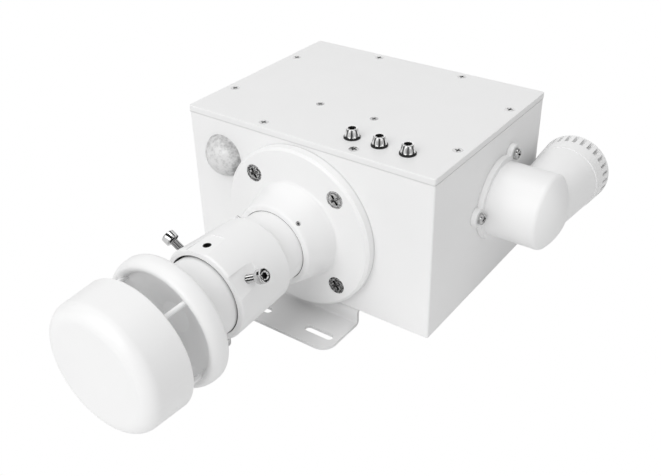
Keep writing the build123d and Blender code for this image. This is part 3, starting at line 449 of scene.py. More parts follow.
@dataclass(frozen=True)
class WornSteel(Finish):
    """Blackened steel rubbed bright in small specks."""

    bright: str = "#E4E4E4"
    speck_mm: float = 0.9
    worn_span: Point2 = (0.42, 0.68)

    def colour_of(self, tree: Tree, place: Socket) -> Socket:
        """Scatter bright specks of wear over the black, and paint shade into the recesses.

        Args:
            tree: Node tree of the material.
            place: Coordinates on the piece, in metres.

        Returns:
            The colour.
        """
        specks = add_node(
            tree,
            "ShaderNodeTexNoise",
            {"Scale": 1 / (self.speck_mm * MM), "Detail": 4.0, "Roughness": 0.6},
            {"Vector": place},
        )
        low, high = self.worn_span
        worn = add_node(
            tree,
            "ShaderNodeMapRange",
            {"From Min": low, "From Max": high},
            {"Value": specks.outputs["Fac"]},
        )
        metal = add_node(
            tree,
            "ShaderNodeMix",
            {"data_type": "RGBA", MIX_A: linear(self.colour), MIX_B: linear(self.bright)},
            {"Factor": worn.outputs["Result"]},
        )
        return self.paint_shade_in_recesses(tree, metal.outputs[MIX_RESULT])


# Injection-moulded ASA: dense satin white. Its spark-eroded grain is drawn at 0.35 mm, coarser
# than the real one, and still reads as even
MOULDED_ASA = Finish(
    "moulded_white_asa", "#F4F4F4", 0.42, grain_mm=0.35, grain_height_mm=0.004,
)
# The same plastic where parts meet, with painted shade: thin shadow lines in the joints, dark
# bottoms in small holes
ASA_WITH_PAINTED_SHADE = Finish(
    "moulded_white_asa_painted_shade", "#F4F4F4", 0.42, grain_mm=0.35, grain_height_mm=0.004,
    painted_shade=0.97, painted_shade_reach_mm=2.2, painted_shade_span=(0.12, 0.4), painted_shade_between=True,
)
# The lid is the same plastic with a smoother top, its colour slightly greyer: painted shade on the
# top
LID_ASA_PAINTED_SHADE = Finish(
    "white_asa_lid_painted_shade", "#EFEFEF", 0.38, grain_mm=0.5, grain_height_mm=0.003, mottle=0.01,
)
# Powder-coated steel sheet: white with faint orange peel
POWDER_COAT = Finish("white_powder_coat", "#EDEDED", 0.36, grain_mm=1.1, grain_height_mm=0.02)
# Moulded silicone gasket: pale grey and matte
SILICONE = Finish("grey_silicone", "#DEDEDE", 0.7, grain_mm=0.4, grain_height_mm=0.01)
# Moulded nitrile rubber: nearly black and matte
NITRILE = Finish("black_nitrile_rubber", "#0E0E0F", 0.62, grain_mm=0.3, grain_height_mm=0.01)
# Blackened stainless steel, worn: bright patches between dark ones, and black recesses of painted
# shade
DARK_SCREW_STEEL = Finish(
    "blackened_stainless_screw", "#D2D2D2", 0.2, metallic=1.0, grain_mm=0.5, grain_height_mm=0.02,
    painted_shade=0.985, painted_shade_reach_mm=1.6, mottle=0.45, mottle_mm=1.6,
)
# Lid screws of black-oxide steel with rubbed faces: small bright glints round black recesses of
# painted shade
BLACK_OXIDE = Finish(
    "black_oxide_screw", "#E2E2E2", 0.2, metallic=1.0, grain_mm=0.3, grain_height_mm=0.006,
    painted_shade=0.985, painted_shade_reach_mm=1.6, mottle=0.2, mottle_mm=1.5,
)
# Blackened countersunk heads, worn through to speckled bright steel, with painted shade in the
# recesses
WORN_BLACK_STEEL = WornSteel(
    "worn_blackened_steel", "#343434", 0.28, metallic=1.0, grain_mm=0.5, grain_height_mm=0.03,
    painted_shade=0.99, painted_shade_reach_mm=1.4, painted_shade_span=(0.5, 0.9),
)
# The same worn heads in a lighter copy: a painted highlight for the screw that catches the most
# light
WORN_STEEL_PAINTED_HIGHLIGHT = WornSteel(
    "worn_steel_painted_highlight", "#8E8E8E", 0.22, metallic=1.0, grain_mm=0.5, grain_height_mm=0.02,
    painted_shade=0.99, painted_shade_reach_mm=1.4, painted_shade_span=(0.5, 0.9),
)
# Nickel-plated small parts: even, bright grey, with painted shade in their recesses
NICKEL_PLATE = Finish(
    "nickel_plated_steel", "#C8C8C8", 0.25, metallic=1.0, grain_mm=0.3, grain_height_mm=0.004,
    painted_shade=0.8, painted_shade_reach_mm=0.8, mottle=0.1, mottle_mm=2.0,
)
# Polished chrome plate: mirror bright, with sharp black and white lines, and painted shade in its
# recesses
CHROME = Finish(
    "polished_chrome_plate", "#F6F6F6", 0.05, metallic=1.0, grain_mm=0.8, grain_height_mm=0.002,
    painted_shade=0.9, painted_shade_reach_mm=1.2, mottle=0.02, mottle_mm=6.0, roughness_spread=0.02,
)
# Zinc-plated, polished clamp screws: bright, with painted shade darkening the thread
ZINC_PLATE = Finish(
    "polished_zinc_plate", "#D4D4D4", 0.08, metallic=1.0, grain_mm=0.8, grain_height_mm=0.003,
    painted_shade=0.95, painted_shade_reach_mm=1.0, painted_shade_span=(0.45, 0.9), mottle=0.05, mottle_mm=6.0,
    roughness_spread=0.03,
)
# Flat black painted on the bezels beside the chrome: painted dark reflections in the flutes,
# painted shade round the foot and in the bore
PAINTED_DARK_REFLECTION = Finish("painted_dark_reflection_and_shade", "#060606", 0.55, grain_mm=0.5, grain_height_mm=0.002)
# Flat black deep in holes: painted shade in the clamp screws' sockets and the spare hole
PAINTED_HOLE_SHADE = Finish(
    "painted_hole_shade", "#060606", 0.55, grain_mm=0.5, grain_height_mm=0.002,
)
# Smoked epoxy of the unlit lamps: black glass with a soft shine
SMOKED_EPOXY = Finish("smoked_epoxy_lamp", "#101011", 0.35, grain_mm=0.5, grain_height_mm=0.002)
# Moulded polycarbonate with facets inside: a painted pale, patchy glow with a grey rim
FROSTED_LENS = FrostedLens(
    "frosted_polycarbonate_lens", "#9A9A9A", 0.3, ior=1.58, grain_height_mm=0.25, coat=0.15,
)
# Solder mask on glass-epoxy board: green, with the weave faintly showing
SOLDER_MASK = Finish(
    "green_solder_mask", "#1F5E3A", 0.35, grain_mm=0.9, grain_height_mm=0.03, mottle_mm=6.0,
    mottle=0.25,
)
# Moulded nylon terminals: green and satin
TERMINAL_NYLON = Finish("green_nylon_terminal", "#2F7D4A", 0.5)
# Tinned sheet steel case of the measuring module: cool grey, softly mottled
SENSOR_STEEL = Finish(
    "tinned_steel_case", "#9AA3AA", 0.35, metallic=1.0, mottle=0.1, mottle_mm=10.0,
)
# Moulded PBT of the fan: black and satin
BLACK_PBT = Finish("black_pbt_fan", "#161617", 0.5, grain_mm=0.5, grain_height_mm=0.01)
# Moulded nylon of the cable gland: pale grey and satin
GREY_NYLON = Finish("light_grey_nylon_gland", "#DADADA", 0.45, grain_mm=0.5, grain_height_mm=0.01)
# Anodised, turned cases of the transducers: pale grey metal
TRANSDUCER_ALLOY = Finish(
    "anodised_transducer_case", "#B9BBBD", 0.4, metallic=1.0, mottle=0.05, mottle_mm=4.0,
)
# Woven nylon screen: pale threads, seen only through the inlet's slots
WOVEN_NYLON = Finish("woven_nylon_screen", "#DCDCDC", 0.6, grain_mm=0.5, grain_height_mm=0.1)
# Flocked card of the photographer's flags: takes nearly all light
BLACK_FLOCK = Finish("black_flocked_card", "#050505", 0.9)


def ring_point(place: Matrix, radius_mm: float, angle: float, height_mm: float) -> Vector:
    """Return the point at a radius, angle and height round a place's own Z axis."""
    local = Vector((radius_mm * math.cos(angle), radius_mm * math.sin(angle), height_mm)) * MM
    return place @ local


def lathe(
    mesh: bmesh.types.BMesh,
    profile_mm: Sequence[Point2],
    place: Matrix,
    steps: int = 64,
    radius_at: Callable[[float, float, float], float] | None = None,
) -> None:
    """Turn a profile round its own Z axis and add it to a mesh.

    Args:
        mesh: Mesh that receives the faces.
        profile_mm: Points (radius, height); a radius of 0 closes the form.
        place: Where the turned form stands.
        steps: Steps round the axis.
        radius_at: Radius in mm for a profile radius, height and angle, where the form isn't round.
    """
    rings = []
    for radius, height in profile_mm:
        if radius == 0:
            rings.append([mesh.verts.new(place @ Vector((0, 0, height * MM)))])
            continue
        ring = []
        for step in range(steps):
            angle = 2 * math.pi * step / steps
            reach = radius if radius_at is None else radius_at(radius, height, angle)
            ring.append(mesh.verts.new(ring_point(place, reach, angle, height)))
        rings.append(ring)
    for low, high in zip(rings, rings[1:]):
        for step in range(steps):
            after = (step + 1) % steps
            corners = []
            for ring, index in ((low, step), (low, after), (high, after), (high, step)):
                corner = ring[0] if len(ring) == 1 else ring[index]
                if corner not in corners:
                    corners.append(corner)
            mesh.faces.new(corners)


def thread(
    mesh: bmesh.types.BMesh,
    radius_mm: float,
    depth_mm: float,
    pitch_mm: float,
    start_mm: float,
    end_mm: float,
    place: Matrix,
    steps: int = 40,
) -> None:
    """Add a screw thread with a V profile between two heights.

    Args:
        mesh: Mesh that receives the faces.
        radius_mm: Outer radius of the thread.
        depth_mm: Depth of its groove.
        pitch_mm: Height of one turn.
        start_mm: Lowest height.
        end_mm: Highest height.
        place: Where the thread's axis stands.
        steps: Steps in one turn.
    """
    rows_per_turn = 8
    rows = int((end_mm - start_mm) / pitch_mm * rows_per_turn) + 1
    grid = []
    for row in range(rows + 1):
        height = start_mm + (end_mm - start_mm) * row / rows
        ring = []
        for step in range(steps):
            angle = 2 * math.pi * step / steps
            phase = (height / pitch_mm - angle / (2 * math.pi)) % 1.0
            reach = radius_mm - depth_mm * (1 - abs(2 * phase - 1))
            ring.append(mesh.verts.new(ring_point(place, reach, angle, height)))
        grid.append(ring)
    for low, high in zip(grid, grid[1:]):
        for step in range(steps):
            after = (step + 1) % steps
            mesh.faces.new((low[step], low[after], high[after], high[step]))
    for ring, height in ((grid[0], start_mm), (grid[-1], end_mm)):
        middle = mesh.verts.new(place @ Vector((0, 0, height * MM)))
        for step in range(steps):
            mesh.faces.new((ring[step], ring[(step + 1) % steps], middle))


def make_piece(
    name: str,
    mesh: bmesh.types.BMesh,
    *finishes: Finish,
    smooth_deg: float = 35.0,
) -> bpy.types.Object:
    """Turn a finished mesh into an object with its material.

    Args:
        name: Name of the piece.
        mesh: The mesh in metres, which is freed.
        finishes: Its finishes, in the order of the faces' material numbers.
        smooth_deg: Edges sharper than this stay sharp.

    Returns:
        The new object.
    """
    bmesh.ops.recalc_face_normals(mesh, faces=mesh.faces)
    limit = math.radians(smooth_deg)
    for face in mesh.faces:
        face.smooth = True
    for edge in mesh.edges:
        if len(edge.link_faces) == 2 and edge.calc_face_angle(0.0) > limit:
            edge.smooth = False
    data = bpy.data.meshes.new(name)
    mesh.to_mesh(data)
    mesh.free()
    for finish in finishes:
        data.materials.append(finish.material())
    piece = bpy.data.objects.new(name, data)
    bpy.context.scene.collection.objects.link(piece)
    LOG.info("made %s", name)
    return piece


def upright(place_mm: Sequence[float], outward: Sequence[float]) -> Matrix:
    """Return the matrix that stands Z along a direction at a place in mm."""
    turn = Vector(outward).to_track_quat("Z", "Y").to_matrix().to_4x4()
    return Matrix.Translation(Vector(place_mm) * MM) @ turn


def dress(frame: dict, finish: Finish, names: Sequence[str]) -> None:
    """Give CAD nodes a finish.

    Args:
        frame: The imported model, as loaded.
        finish: Finish for the nodes.
        names: Names of the nodes.
    """
    for name in names:
        node = frame["nodes"][name]
        node.data.materials.clear()
        node.data.materials.append(finish.material())
        LOG.info("dressed %s as %s", name, finish.name)


@dataclass
class Enclosure:
    """The box with its lid, gasket and lid screws."""

    def build(self, frame: dict) -> None:
        """Dress the box and what closes it.

        Args:
            frame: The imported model, as loaded.
        """
        dress(frame, MOULDED_ASA, ("enclosure_body",))
        dress(frame, LID_ASA_PAINTED_SHADE, ("lid",))
        dress(frame, SILICONE, ("lid_gasket",))
        dress(frame, BLACK_OXIDE, ("lid_screws",))
        dress(frame, NICKEL_PLATE, ("centre_screws", "board_spacers"))


@dataclass
class Bezel:
    """A chrome bezel whose flutes hold painted dark reflections, with a scalloped hole and a plain
    barrel below.
    """

    seal_mm: float = 0.7
    height_mm: float = 5.25
    base_radius_mm: float = 3.9
    top_radius_mm: float = 2.9
    bore_radius_mm: float = 2.05
    bore_lip_mm: float = 0.12
    barrel_radius_mm: float = 3.0
    barrel_length_mm: float = 7.0
    # Rows of points in the bore, by their depth under the rim; the first ends the scallops
    bore_rows_mm: Point3 = (1.2, 0.5, 0.12)
    # Rounded outer edge of the rim, as inset and drop
    rim_edge_mm: tuple[Point2, ...] = ((0.35, 0.0), (0.1, 0.12), (0.0, 0.4))
    # Rows of points down the cone, as shares of its height
    cone_rows: tuple[float, ...] = (0.85, 0.7, 0.55, 0.4, 0.25, 0.11)
    foot_band_mm: float = 0.35
    flutes: int = 8
    first_flute_deg: float = -57.5
    flute_depth_mm: float = 0.3
    flute_width_deg: float = 8.0
    flute_runout_mm: float = 0.6
    scallop_mm: float = 0.45
    steps: int = 144
    # Where the painted black lies: dark reflections in the flutes from this depth on, shade round
    # the foot and in the bore
    painted_dark_from: float = 0.45
    painted_dark_under_rim_mm: float = 0.3
    painted_dark_side_mm: float = 0.4
    painted_dark_foot_mm: float = 0.5
    painted_dark_bore_mm: float = 0.35
    painted_dark_bore_top_mm: float = 0.1

    def flute(self, angle: float) -> float:
        """Return how deep in a flute an angle lies.

        Args:
            angle: Angle round the bezel.

        Returns:
            A share from 0 between flutes to 1 in one.
        """
        spacing = 2 * math.pi / self.flutes
        offset = (angle - math.radians(self.first_flute_deg) + spacing / 2) % spacing - spacing / 2
        return math.exp(-((offset / math.radians(self.flute_width_deg)) ** 2))

    def radius_at(self, radius: float, height: float, angle: float) -> float:
        """Cut the flutes into the outside, and scallops into the rim of the hole.

        Args:
            radius: Radius of the profile in mm.
            height: Height above the lid in mm.
            angle: Angle round the bezel.

        Returns:
            The radius in mm at that angle.
        """
        if height <= self.seal_mm or height > self.height_mm + SLACK_MM:
            return radius
        if radius <= self.bore_radius_mm + SLACK_MM:
            near_top = max(0.0, 1 - (self.height_mm - height) / self.bore_rows_mm[0])
            return radius + self.scallop_mm * self.flute(angle) * near_top
        foot = min(1.0, (height - self.seal_mm) / self.flute_runout_mm)
        return radius - self.flute_depth_mm * self.flute(angle) * foot

    def profile(self) -> list[Point2]:
        """Draw the bezel's section, from the barrel's end up the bore and down the outside.

        Returns:
            Points (radius, height) in mm.
        """
        bore, barrel = self.bore_radius_mm, self.barrel_radius_mm
        foot, top = self.base_radius_mm, self.top_radius_mm
        rise = self.height_mm - self.seal_mm
        points = [(bore, -self.barrel_length_mm)]
        points += [(bore, self.height_mm - depth) for depth in self.bore_rows_mm]
        points.append((bore + self.bore_lip_mm, self.height_mm))
        points += [(top - inset, self.height_mm - drop) for inset, drop in self.rim_edge_mm]
        for share in self.cone_rows:
            points.append((foot + (top - foot) * share, self.seal_mm + rise * share))
        points += [(foot, self.seal_mm + self.foot_band_mm), (foot, self.seal_mm)]
        points += [(barrel, self.seal_mm), (barrel, -self.barrel_length_mm)]
        points.append((bore, -self.barrel_length_mm))
        return points

    def is_painted_dark(self, middle: Vector) -> bool:
        """Tell whether a face of the bezel is painted black: dark reflection in a flute, shade
        round the foot and in the bore.

        Args:
            middle: Middle of the face in the bezel's own frame, in mm.

        Returns:
            True in the flutes, round the foot and in the bore.
        """
        reach = Vector((middle.x, middle.y)).length
        in_flute = self.flute(math.atan2(middle.y, middle.x)) > self.painted_dark_from
        outside = reach > self.bore_radius_mm + self.painted_dark_side_mm
        on_side = outside and self.seal_mm < middle.z < self.height_mm - self.painted_dark_under_rim_mm
        on_foot = on_side and middle.z < self.seal_mm + self.painted_dark_foot_mm
        inside = reach < self.bore_radius_mm + self.painted_dark_bore_mm
        in_bore = inside and middle.z < self.height_mm - self.painted_dark_bore_top_mm
        return (on_side and in_flute) or on_foot or in_bore

    def make(self, number: int, stand: Matrix) -> None:
        """Turn one bezel with its flutes, rolled rim and barrel.

        Args:
            number: Number of the light, from 1.
            stand: Its place on the lid.
        """
        mesh = bmesh.new()
        lathe(mesh, self.profile(), stand, self.steps, self.radius_at)
        bmesh.ops.remove_doubles(mesh, verts=mesh.verts, dist=MERGE_M)
        # Faces in the flutes, round the foot and in the bore get flat black: painted dark
        # reflections and painted shade
        for face in mesh.faces:
            if self.is_painted_dark((stand.inverted() @ face.calc_center_median()) / MM):
                face.material_index = 1
        piece = make_piece(f"bezel_{number}", mesh, CHROME, PAINTED_DARK_REFLECTION)
        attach(piece, "station")
        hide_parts(f"led_bezel_{number}")


@dataclass
class StatusLights:
    """Three fluted chrome bezels on the lid with their lamps and board."""

    places_mm: tuple[Point2, ...] = ((19.95, -44.15), (35.8, -44.15), (51.65, -44.15))
    lid_top_mm: float = 101.2
    bezel: Bezel = field(default_factory=Bezel)

    def build(self, frame: dict) -> None:
        """Make the bezels, and dress the lamps, seals and board.

        Args:
            frame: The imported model, as loaded.
        """
        for number, (x, y) in enumerate(self.places_mm, start=1):
            self.bezel.make(number, Matrix.Translation(Vector((x, y, self.lid_top_mm)) * MM))
            dress(frame, SMOKED_EPOXY, (f"led_lens_{number}",))
        dress(frame, NITRILE, ("bezel_seals",))
        dress(frame, NICKEL_PLATE, ("bezel_nuts",))
        dress(frame, SOLDER_MASK, ("led_board",))


@dataclass
class LightSensor:
    """Frosted dome on the front face and the board behind it."""

    def build(self, frame: dict) -> None:
        """Dress the dome and its board."""
        dress(frame, FROSTED_LENS, ("light_sensor_dome",))
        dress(frame, SOLDER_MASK, ("light_sensor_board",))


class ScrewSide(Enum):
    """Where a clamp screw stands on the collar, seen from the front."""

    RIGHT = "right"
    LEFT = "left"
    BOTTOM = "bottom"


@dataclass(frozen=True)
class ClampSeat:
    """Angle of a clamp screw round the collar, and how far out its head begins."""

    side: ScrewSide
    angle_deg: float
    radius_mm: float


@dataclass
class SocketScrew:
    """A clamp screw with a socket head and its real thread."""

    length_mm: float = 10.0
    thread_radius_mm: float = 2.0
    thread_pitch_mm: float = 0.7
    thread_depth_mm: float = 0.4
    thread_start_mm: float = 0.4
    tip_height_mm: float = 0.45
    tip_inset_mm: float = 0.1
    neck_mm: float = 0.6
    neck_overlap_mm: float = 0.02
    shank_steps: int = 40
    head_radius_mm: float = 3.5
    head_height_mm: float = 4.0
    head_steps: int = 72
    # Rounded edges of the head: inset and rise at its foot, inset and drop at its crown
    foot_edge_mm: tuple[Point2, ...] = ((0.25, 0.0), (0.07, 0.07), (0.0, 0.25))
    crown_edge_mm: tuple[Point2, ...] = ((0.0, 0.45), (0.12, 0.14), (0.42, 0.0))
    socket_radius_mm: float = 1.73
    socket_depth_mm: float = 2.0
    socket_chamfer_mm: float = 0.25
    socket_cone_mm: float = 0.4
    # Painted shade fills the socket from this far below its floor
    socket_shade_mm: float = 0.5

    def socket_at(self, radius: float, height: float, angle: float) -> float:
        """Shape the inside of the head as a hexagon.

        Args:
            radius: Radius of the profile in mm.
            height: Height above the head's foot in mm.
            angle: Angle round the screw.

        Returns:
            The radius in mm at that angle.
        """
        below = height < self.head_height_mm - self.socket_depth_mm - SLACK_MM
        if below or radius > self.socket_radius_mm + SLACK_MM:
            return radius
        sector = math.pi / 3
        offset = (angle + sector / 2) % sector - sector / 2
        return radius * math.cos(sector / 2) / math.cos(offset)

    def add_shank(self, mesh: bmesh.types.BMesh, place: Matrix) -> None:
        """Add the thread with the tip and neck that close it.

        Args:
            mesh: Mesh that receives the faces.
            place: Where the head's foot stands.
        """
        end, neck = -self.length_mm, -self.neck_mm
        thread(
            mesh, self.thread_radius_mm, self.thread_depth_mm, self.thread_pitch_mm,
            end + self.thread_start_mm, neck, place, self.shank_steps,
        )
        core, tip = self.thread_radius_mm - self.thread_depth_mm, end + self.tip_height_mm
        for form in (
            [(0, end), (core - self.tip_inset_mm, end), (core, tip), (0, tip)],
            [(0, neck), (core, neck), (core, self.neck_overlap_mm), (0, self.neck_overlap_mm)],
        ):
            lathe(mesh, form, place, self.shank_steps)

    def add_head(self, mesh: bmesh.types.BMesh, place: Matrix) -> None:
        """Add the head with its hexagon socket.

        Args:
            mesh: Mesh that receives the faces.
            place: Where the head's foot stands.
        """
        radius, height = self.head_radius_mm, self.head_height_mm
        socket, floor = self.socket_radius_mm, height - self.socket_depth_mm
        profile = [(0, 0)]
        profile += [(radius - inset, rise) for inset, rise in self.foot_edge_mm]
        profile += [(radius - inset, height - drop) for inset, drop in self.crown_edge_mm]
        profile += [(socket + self.socket_chamfer_mm, height)]
        profile += [(socket, height - self.socket_chamfer_mm), (socket, floor)]
        profile += [(0, floor - self.socket_cone_mm)]
        lathe(mesh, profile, place, self.head_steps, self.socket_at)

    def make(self, side: ScrewSide, place: Matrix) -> None:
        """Make one clamp screw.

        Args:
            side: Which of the three screws.
            place: Where its head's foot stands, with Z outward.
        """
        mesh = bmesh.new()
        self.add_shank(mesh, place)
        self.add_head(mesh, place)
        # Faces deep in the socket get flat black: painted shade
        shade_from = self.head_height_mm - self.socket_depth_mm - self.socket_shade_mm
        for face in mesh.faces:
            middle = (place.inverted() @ face.calc_center_median()) / MM
            reach = math.hypot(middle.x, middle.y)
            if middle.z > shade_from and reach < self.socket_radius_mm:
                face.material_index = 1
        piece = make_piece(f"socket_screw_{side.value}", mesh, ZINC_PLATE, PAINTED_HOLE_SHADE)
        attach(piece, f"clamp_screw_{side.value}")
        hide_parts(f"clamp_screw_{side.value}")


@dataclass
class FlangeScrew:
    """A countersunk screw with a turned groove and a cross recess in its head."""

    length_mm: float = 16.0
    head_radius_mm: float = 4.85
    shank_radius_mm: float = 2.5
    tip_inset_mm: float = 0.4
    tip_height_mm: float = 0.6
    cone_clearance_mm: float = 0.2
    # Edge of the head, as inset and drop
    edge_mm: tuple[Point2, ...] = ((0.1, 0.3), (0.1, 0.12), (0.22, 0.0))
    # Turned groove, as shares of the head's radius and depths in mm
    groove: tuple[Point2, ...] = ((0.84, 0.0), (0.81, 0.16), (0.76, 0.16), (0.73, 0.0))
    # Inner rows of the profile, as radius and height, which become the cross
    recess_rows_mm: tuple[Point2, ...] = ((1.0, 0), (0.99, -0.9), (0, -1.1))
    recess_slack_mm: float = 0.001
    arm_share: float = 0.6
    arm_half_share: float = 0.14
    taper_below_mm: float = 0.5
    taper: float = 0.8
    steps: int = 144

    def recess_at(self, radius: float, height: float, angle: float) -> float:
        """Shape the inner part of the head as a cross.

        Args:
            radius: Radius of the profile in mm.
            height: Height above the head's face in mm.
            angle: Angle round the screw.

        Returns:
            The radius in mm at that angle.
        """
        if radius > self.recess_rows_mm[0][0] + self.recess_slack_mm:
            return radius
        arm = self.head_radius_mm * self.arm_share
        half = self.head_radius_mm * self.arm_half_share
        quarter = math.pi / 2
        smallest_sine = 0.0001
        offset = abs((angle + quarter / 2) % quarter - quarter / 2)
        reach = min(arm / math.cos(offset), half / max(math.sin(offset), smallest_sine))
        return reach if height > -self.taper_below_mm else reach * self.taper

    def make(self, number: int, place: Matrix, finish: Finish) -> None:
        """Make one flange screw.

        Args:
            number: Number of the screw, clockwise from the upper left.
            place: Where its head's face stands, with Z outward.
            finish: Its finish.
        """
        radius, shank, end = self.head_radius_mm, self.shank_radius_mm, -self.length_mm
        profile = [(0, end), (shank - self.tip_inset_mm, end), (shank, end + self.tip_height_mm)]
        profile += [(shank, -(radius - shank) - self.cone_clearance_mm)]
        profile += [(radius - inset, -drop) for inset, drop in self.edge_mm]
        profile += [(radius * share, -depth) for share, depth in self.groove]
        profile += self.recess_rows_mm
        mesh = bmesh.new()
        lathe(mesh, profile, place, self.steps, self.recess_at)
        piece = make_piece(f"flange_screw_{number}", mesh, finish)
        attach(piece, "station")
        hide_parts("flange_screws")


@dataclass
class NeckAndCollar:
    """Flange, neck tube and clamp collar with their screws."""

    axis_mm: Point2 = (-1.8, 51.55)
    clamp_screw: SocketScrew = field(default_factory=SocketScrew)
    clamp_line_mm: float = -124.25
    clamp_seats: tuple[ClampSeat, ...] = (
        ClampSeat(ScrewSide.RIGHT, 30.0, 30.584),
        ClampSeat(ScrewSide.LEFT, 150.0, 30.584),
        ClampSeat(ScrewSide.BOTTOM, 270.0, 31.081),
    )
    spare_angle_deg: float = 94.0
    spare_line_mm: float = -126.5
    spare_top_mm: float = 23.05
    spare_depth_mm: float = 2.1
    spare_floor_mm: float = 0.4
    spare_steps: int = 40
    flange_screw: FlangeScrew = field(default_factory=FlangeScrew)
    flange_face_mm: float = -65.0
    flange_spacing_mm: float = 50.7
    # Clockwise from the upper left: side and level of each screw, and how its cross is turned
    flange_corners: tuple[tuple[int, int], ...] = ((-1, 1), (1, 1), (1, -1), (-1, -1))
    flange_turns_deg: tuple[float, ...] = (30.0, 35.0, 35.0, 10.0)
    # This screw gets the lighter copy of the worn finish: a painted highlight
    painted_highlight_flange_screw: int = 2

    def place_round(self, angle_deg: float, line_mm: float, radius_mm: float) -> Matrix:
        """Stand Z outward from the side tube's axis.

        Args:
            angle_deg: Angle round the axis.
            line_mm: Place along the axis.
            radius_mm: Distance from the axis.

        Returns:
            The place.
        """
        angle = math.radians(angle_deg)
        outward = Vector((math.cos(angle), 0, math.sin(angle)))
        axis = Vector((self.axis_mm[0], line_mm, self.axis_mm[1]))
        return upright(axis + outward * radius_mm, outward)

    def make_flange_screws(self) -> None:
        """Make the four countersunk screws of the flange."""
        half = self.flange_spacing_mm / 2
        corners = zip(self.flange_corners, self.flange_turns_deg)
        for number, ((side, level), turn_deg) in enumerate(corners, start=1):
            x, z = self.axis_mm[0] + side * half, self.axis_mm[1] + level * half
            turn = Matrix.Rotation(math.radians(turn_deg), 4, "Z")
            place = upright((x, self.flange_face_mm, z), (0, -1, 0)) @ turn
            highlighted = number == self.painted_highlight_flange_screw
            self.flange_screw.make(number, place, WORN_STEEL_PAINTED_HIGHLIGHT if highlighted else WORN_BLACK_STEEL)

    def make_spare_hole_shade(self) -> None:
        """Line the collar's spare tapped hole with a flat black cup: painted shade in the hole."""
        place = self.place_round(self.spare_angle_deg, self.spare_line_mm, self.spare_top_mm)
        outer = self.clamp_screw.thread_radius_mm
        inner = outer - self.clamp_screw.thread_depth_mm
        end = -self.spare_depth_mm
        floor = end + self.spare_floor_mm
        mesh = bmesh.new()
        profile = [(0, end), (outer, end), (outer, 0), (inner, 0), (inner, floor), (0, floor)]
        lathe(mesh, profile, place, self.spare_steps)
        piece = make_piece("spare_hole_painted_shade", mesh, PAINTED_HOLE_SHADE)
        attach(piece, "station")

    def build(self, frame: dict) -> None:
        """Dress the side tube's fixed half, and make its screws.

        Args:
            frame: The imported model, as loaded.
        """
        dress(frame, ASA_WITH_PAINTED_SHADE, ("neck_flange", "neck_tube", "clamp_collar"))
        dress(frame, SILICONE, ("flange_gasket",))
        self.make_flange_screws()
        dress(frame, DARK_SCREW_STEEL, ("flange_nuts",))
        dress(frame, NICKEL_PLATE, ("neck_set_screws",))
        for seat in self.clamp_seats:
            place = self.place_round(seat.angle_deg, self.clamp_line_mm, seat.radius_mm)
            self.clamp_screw.make(seat.side, place)
        self.make_spare_hole_shade()


@dataclass
class WindHead:
    """Tube, dish, pillars and cap of the ultrasonic wind sensor."""

    pillars: int = 4

    def build(self, frame: dict) -> None:
        """Dress the wind head.

        Args:
            frame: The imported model, as loaded.
        """
        dress(frame, ASA_WITH_PAINTED_SHADE, ("sensor_tube",))
        dress(frame, MOULDED_ASA, ("sensor_dish", "sensor_cap", "cap_base"))
        for number in range(1, self.pillars + 1):
            dress(frame, MOULDED_ASA, (f"cap_pillar_{number}",))
            dress(frame, TRANSDUCER_ALLOY, (f"transducer_{number}",))
        dress(frame, SOLDER_MASK, ("sensor_head_board",))


@dataclass
class AirPath:
    """Inlet elbow, outlet vent and fan."""

    def build(self, frame: dict) -> None:
        """Dress what the air passes through.

        Args:
            frame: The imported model, as loaded.
        """
        dress(frame, MOULDED_ASA, ("inlet_elbow", "inlet_cap", "outlet_vent"))
        dress(frame, SILICONE, ("inlet_gasket",))
        dress(frame, DARK_SCREW_STEEL, ("inlet_screws", "outlet_screws"))
        dress(frame, WOVEN_NYLON, ("inlet_mesh",))
        dress(frame, BLACK_PBT, ("fan_frame", "fan_rotor"))


@dataclass
class Electronics:
    """Boards and modules inside the box."""

    def build(self, frame: dict) -> None:
        """Dress the boards.

        Args:
            frame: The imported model, as loaded.
        """
        dress(frame, SOLDER_MASK, ("main_board",))
        dress(frame, DARK_SCREW_STEEL, ("board_screws",))
        dress(frame, TERMINAL_NYLON, ("terminal_block",))
        dress(frame, SENSOR_STEEL, ("particle_sensor",))


@dataclass
class GlandAndBracket:
    """Cable gland on the back and the folded mounting bracket."""

    def build(self, frame: dict) -> None:
        """Dress the gland and the bracket.

        Args:
            frame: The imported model, as loaded.
        """
        dress(frame, GREY_NYLON, ("gland_body", "gland_nut", "gland_locknut"))
        dress(frame, NITRILE, ("gland_seal",))
        dress(frame, POWDER_COAT, ("mounting_bracket",))
        dress(frame, DARK_SCREW_STEEL, ("bracket_screws",))


@dataclass(frozen=True)
class Flag:
    """A black card round the object: direction, rise above the floor, size and reach."""

    turn_deg: float
    rise_deg: float
    width_mm: float
    height_mm: float
    reach_mm: float = 860.0
    lying: bool = False


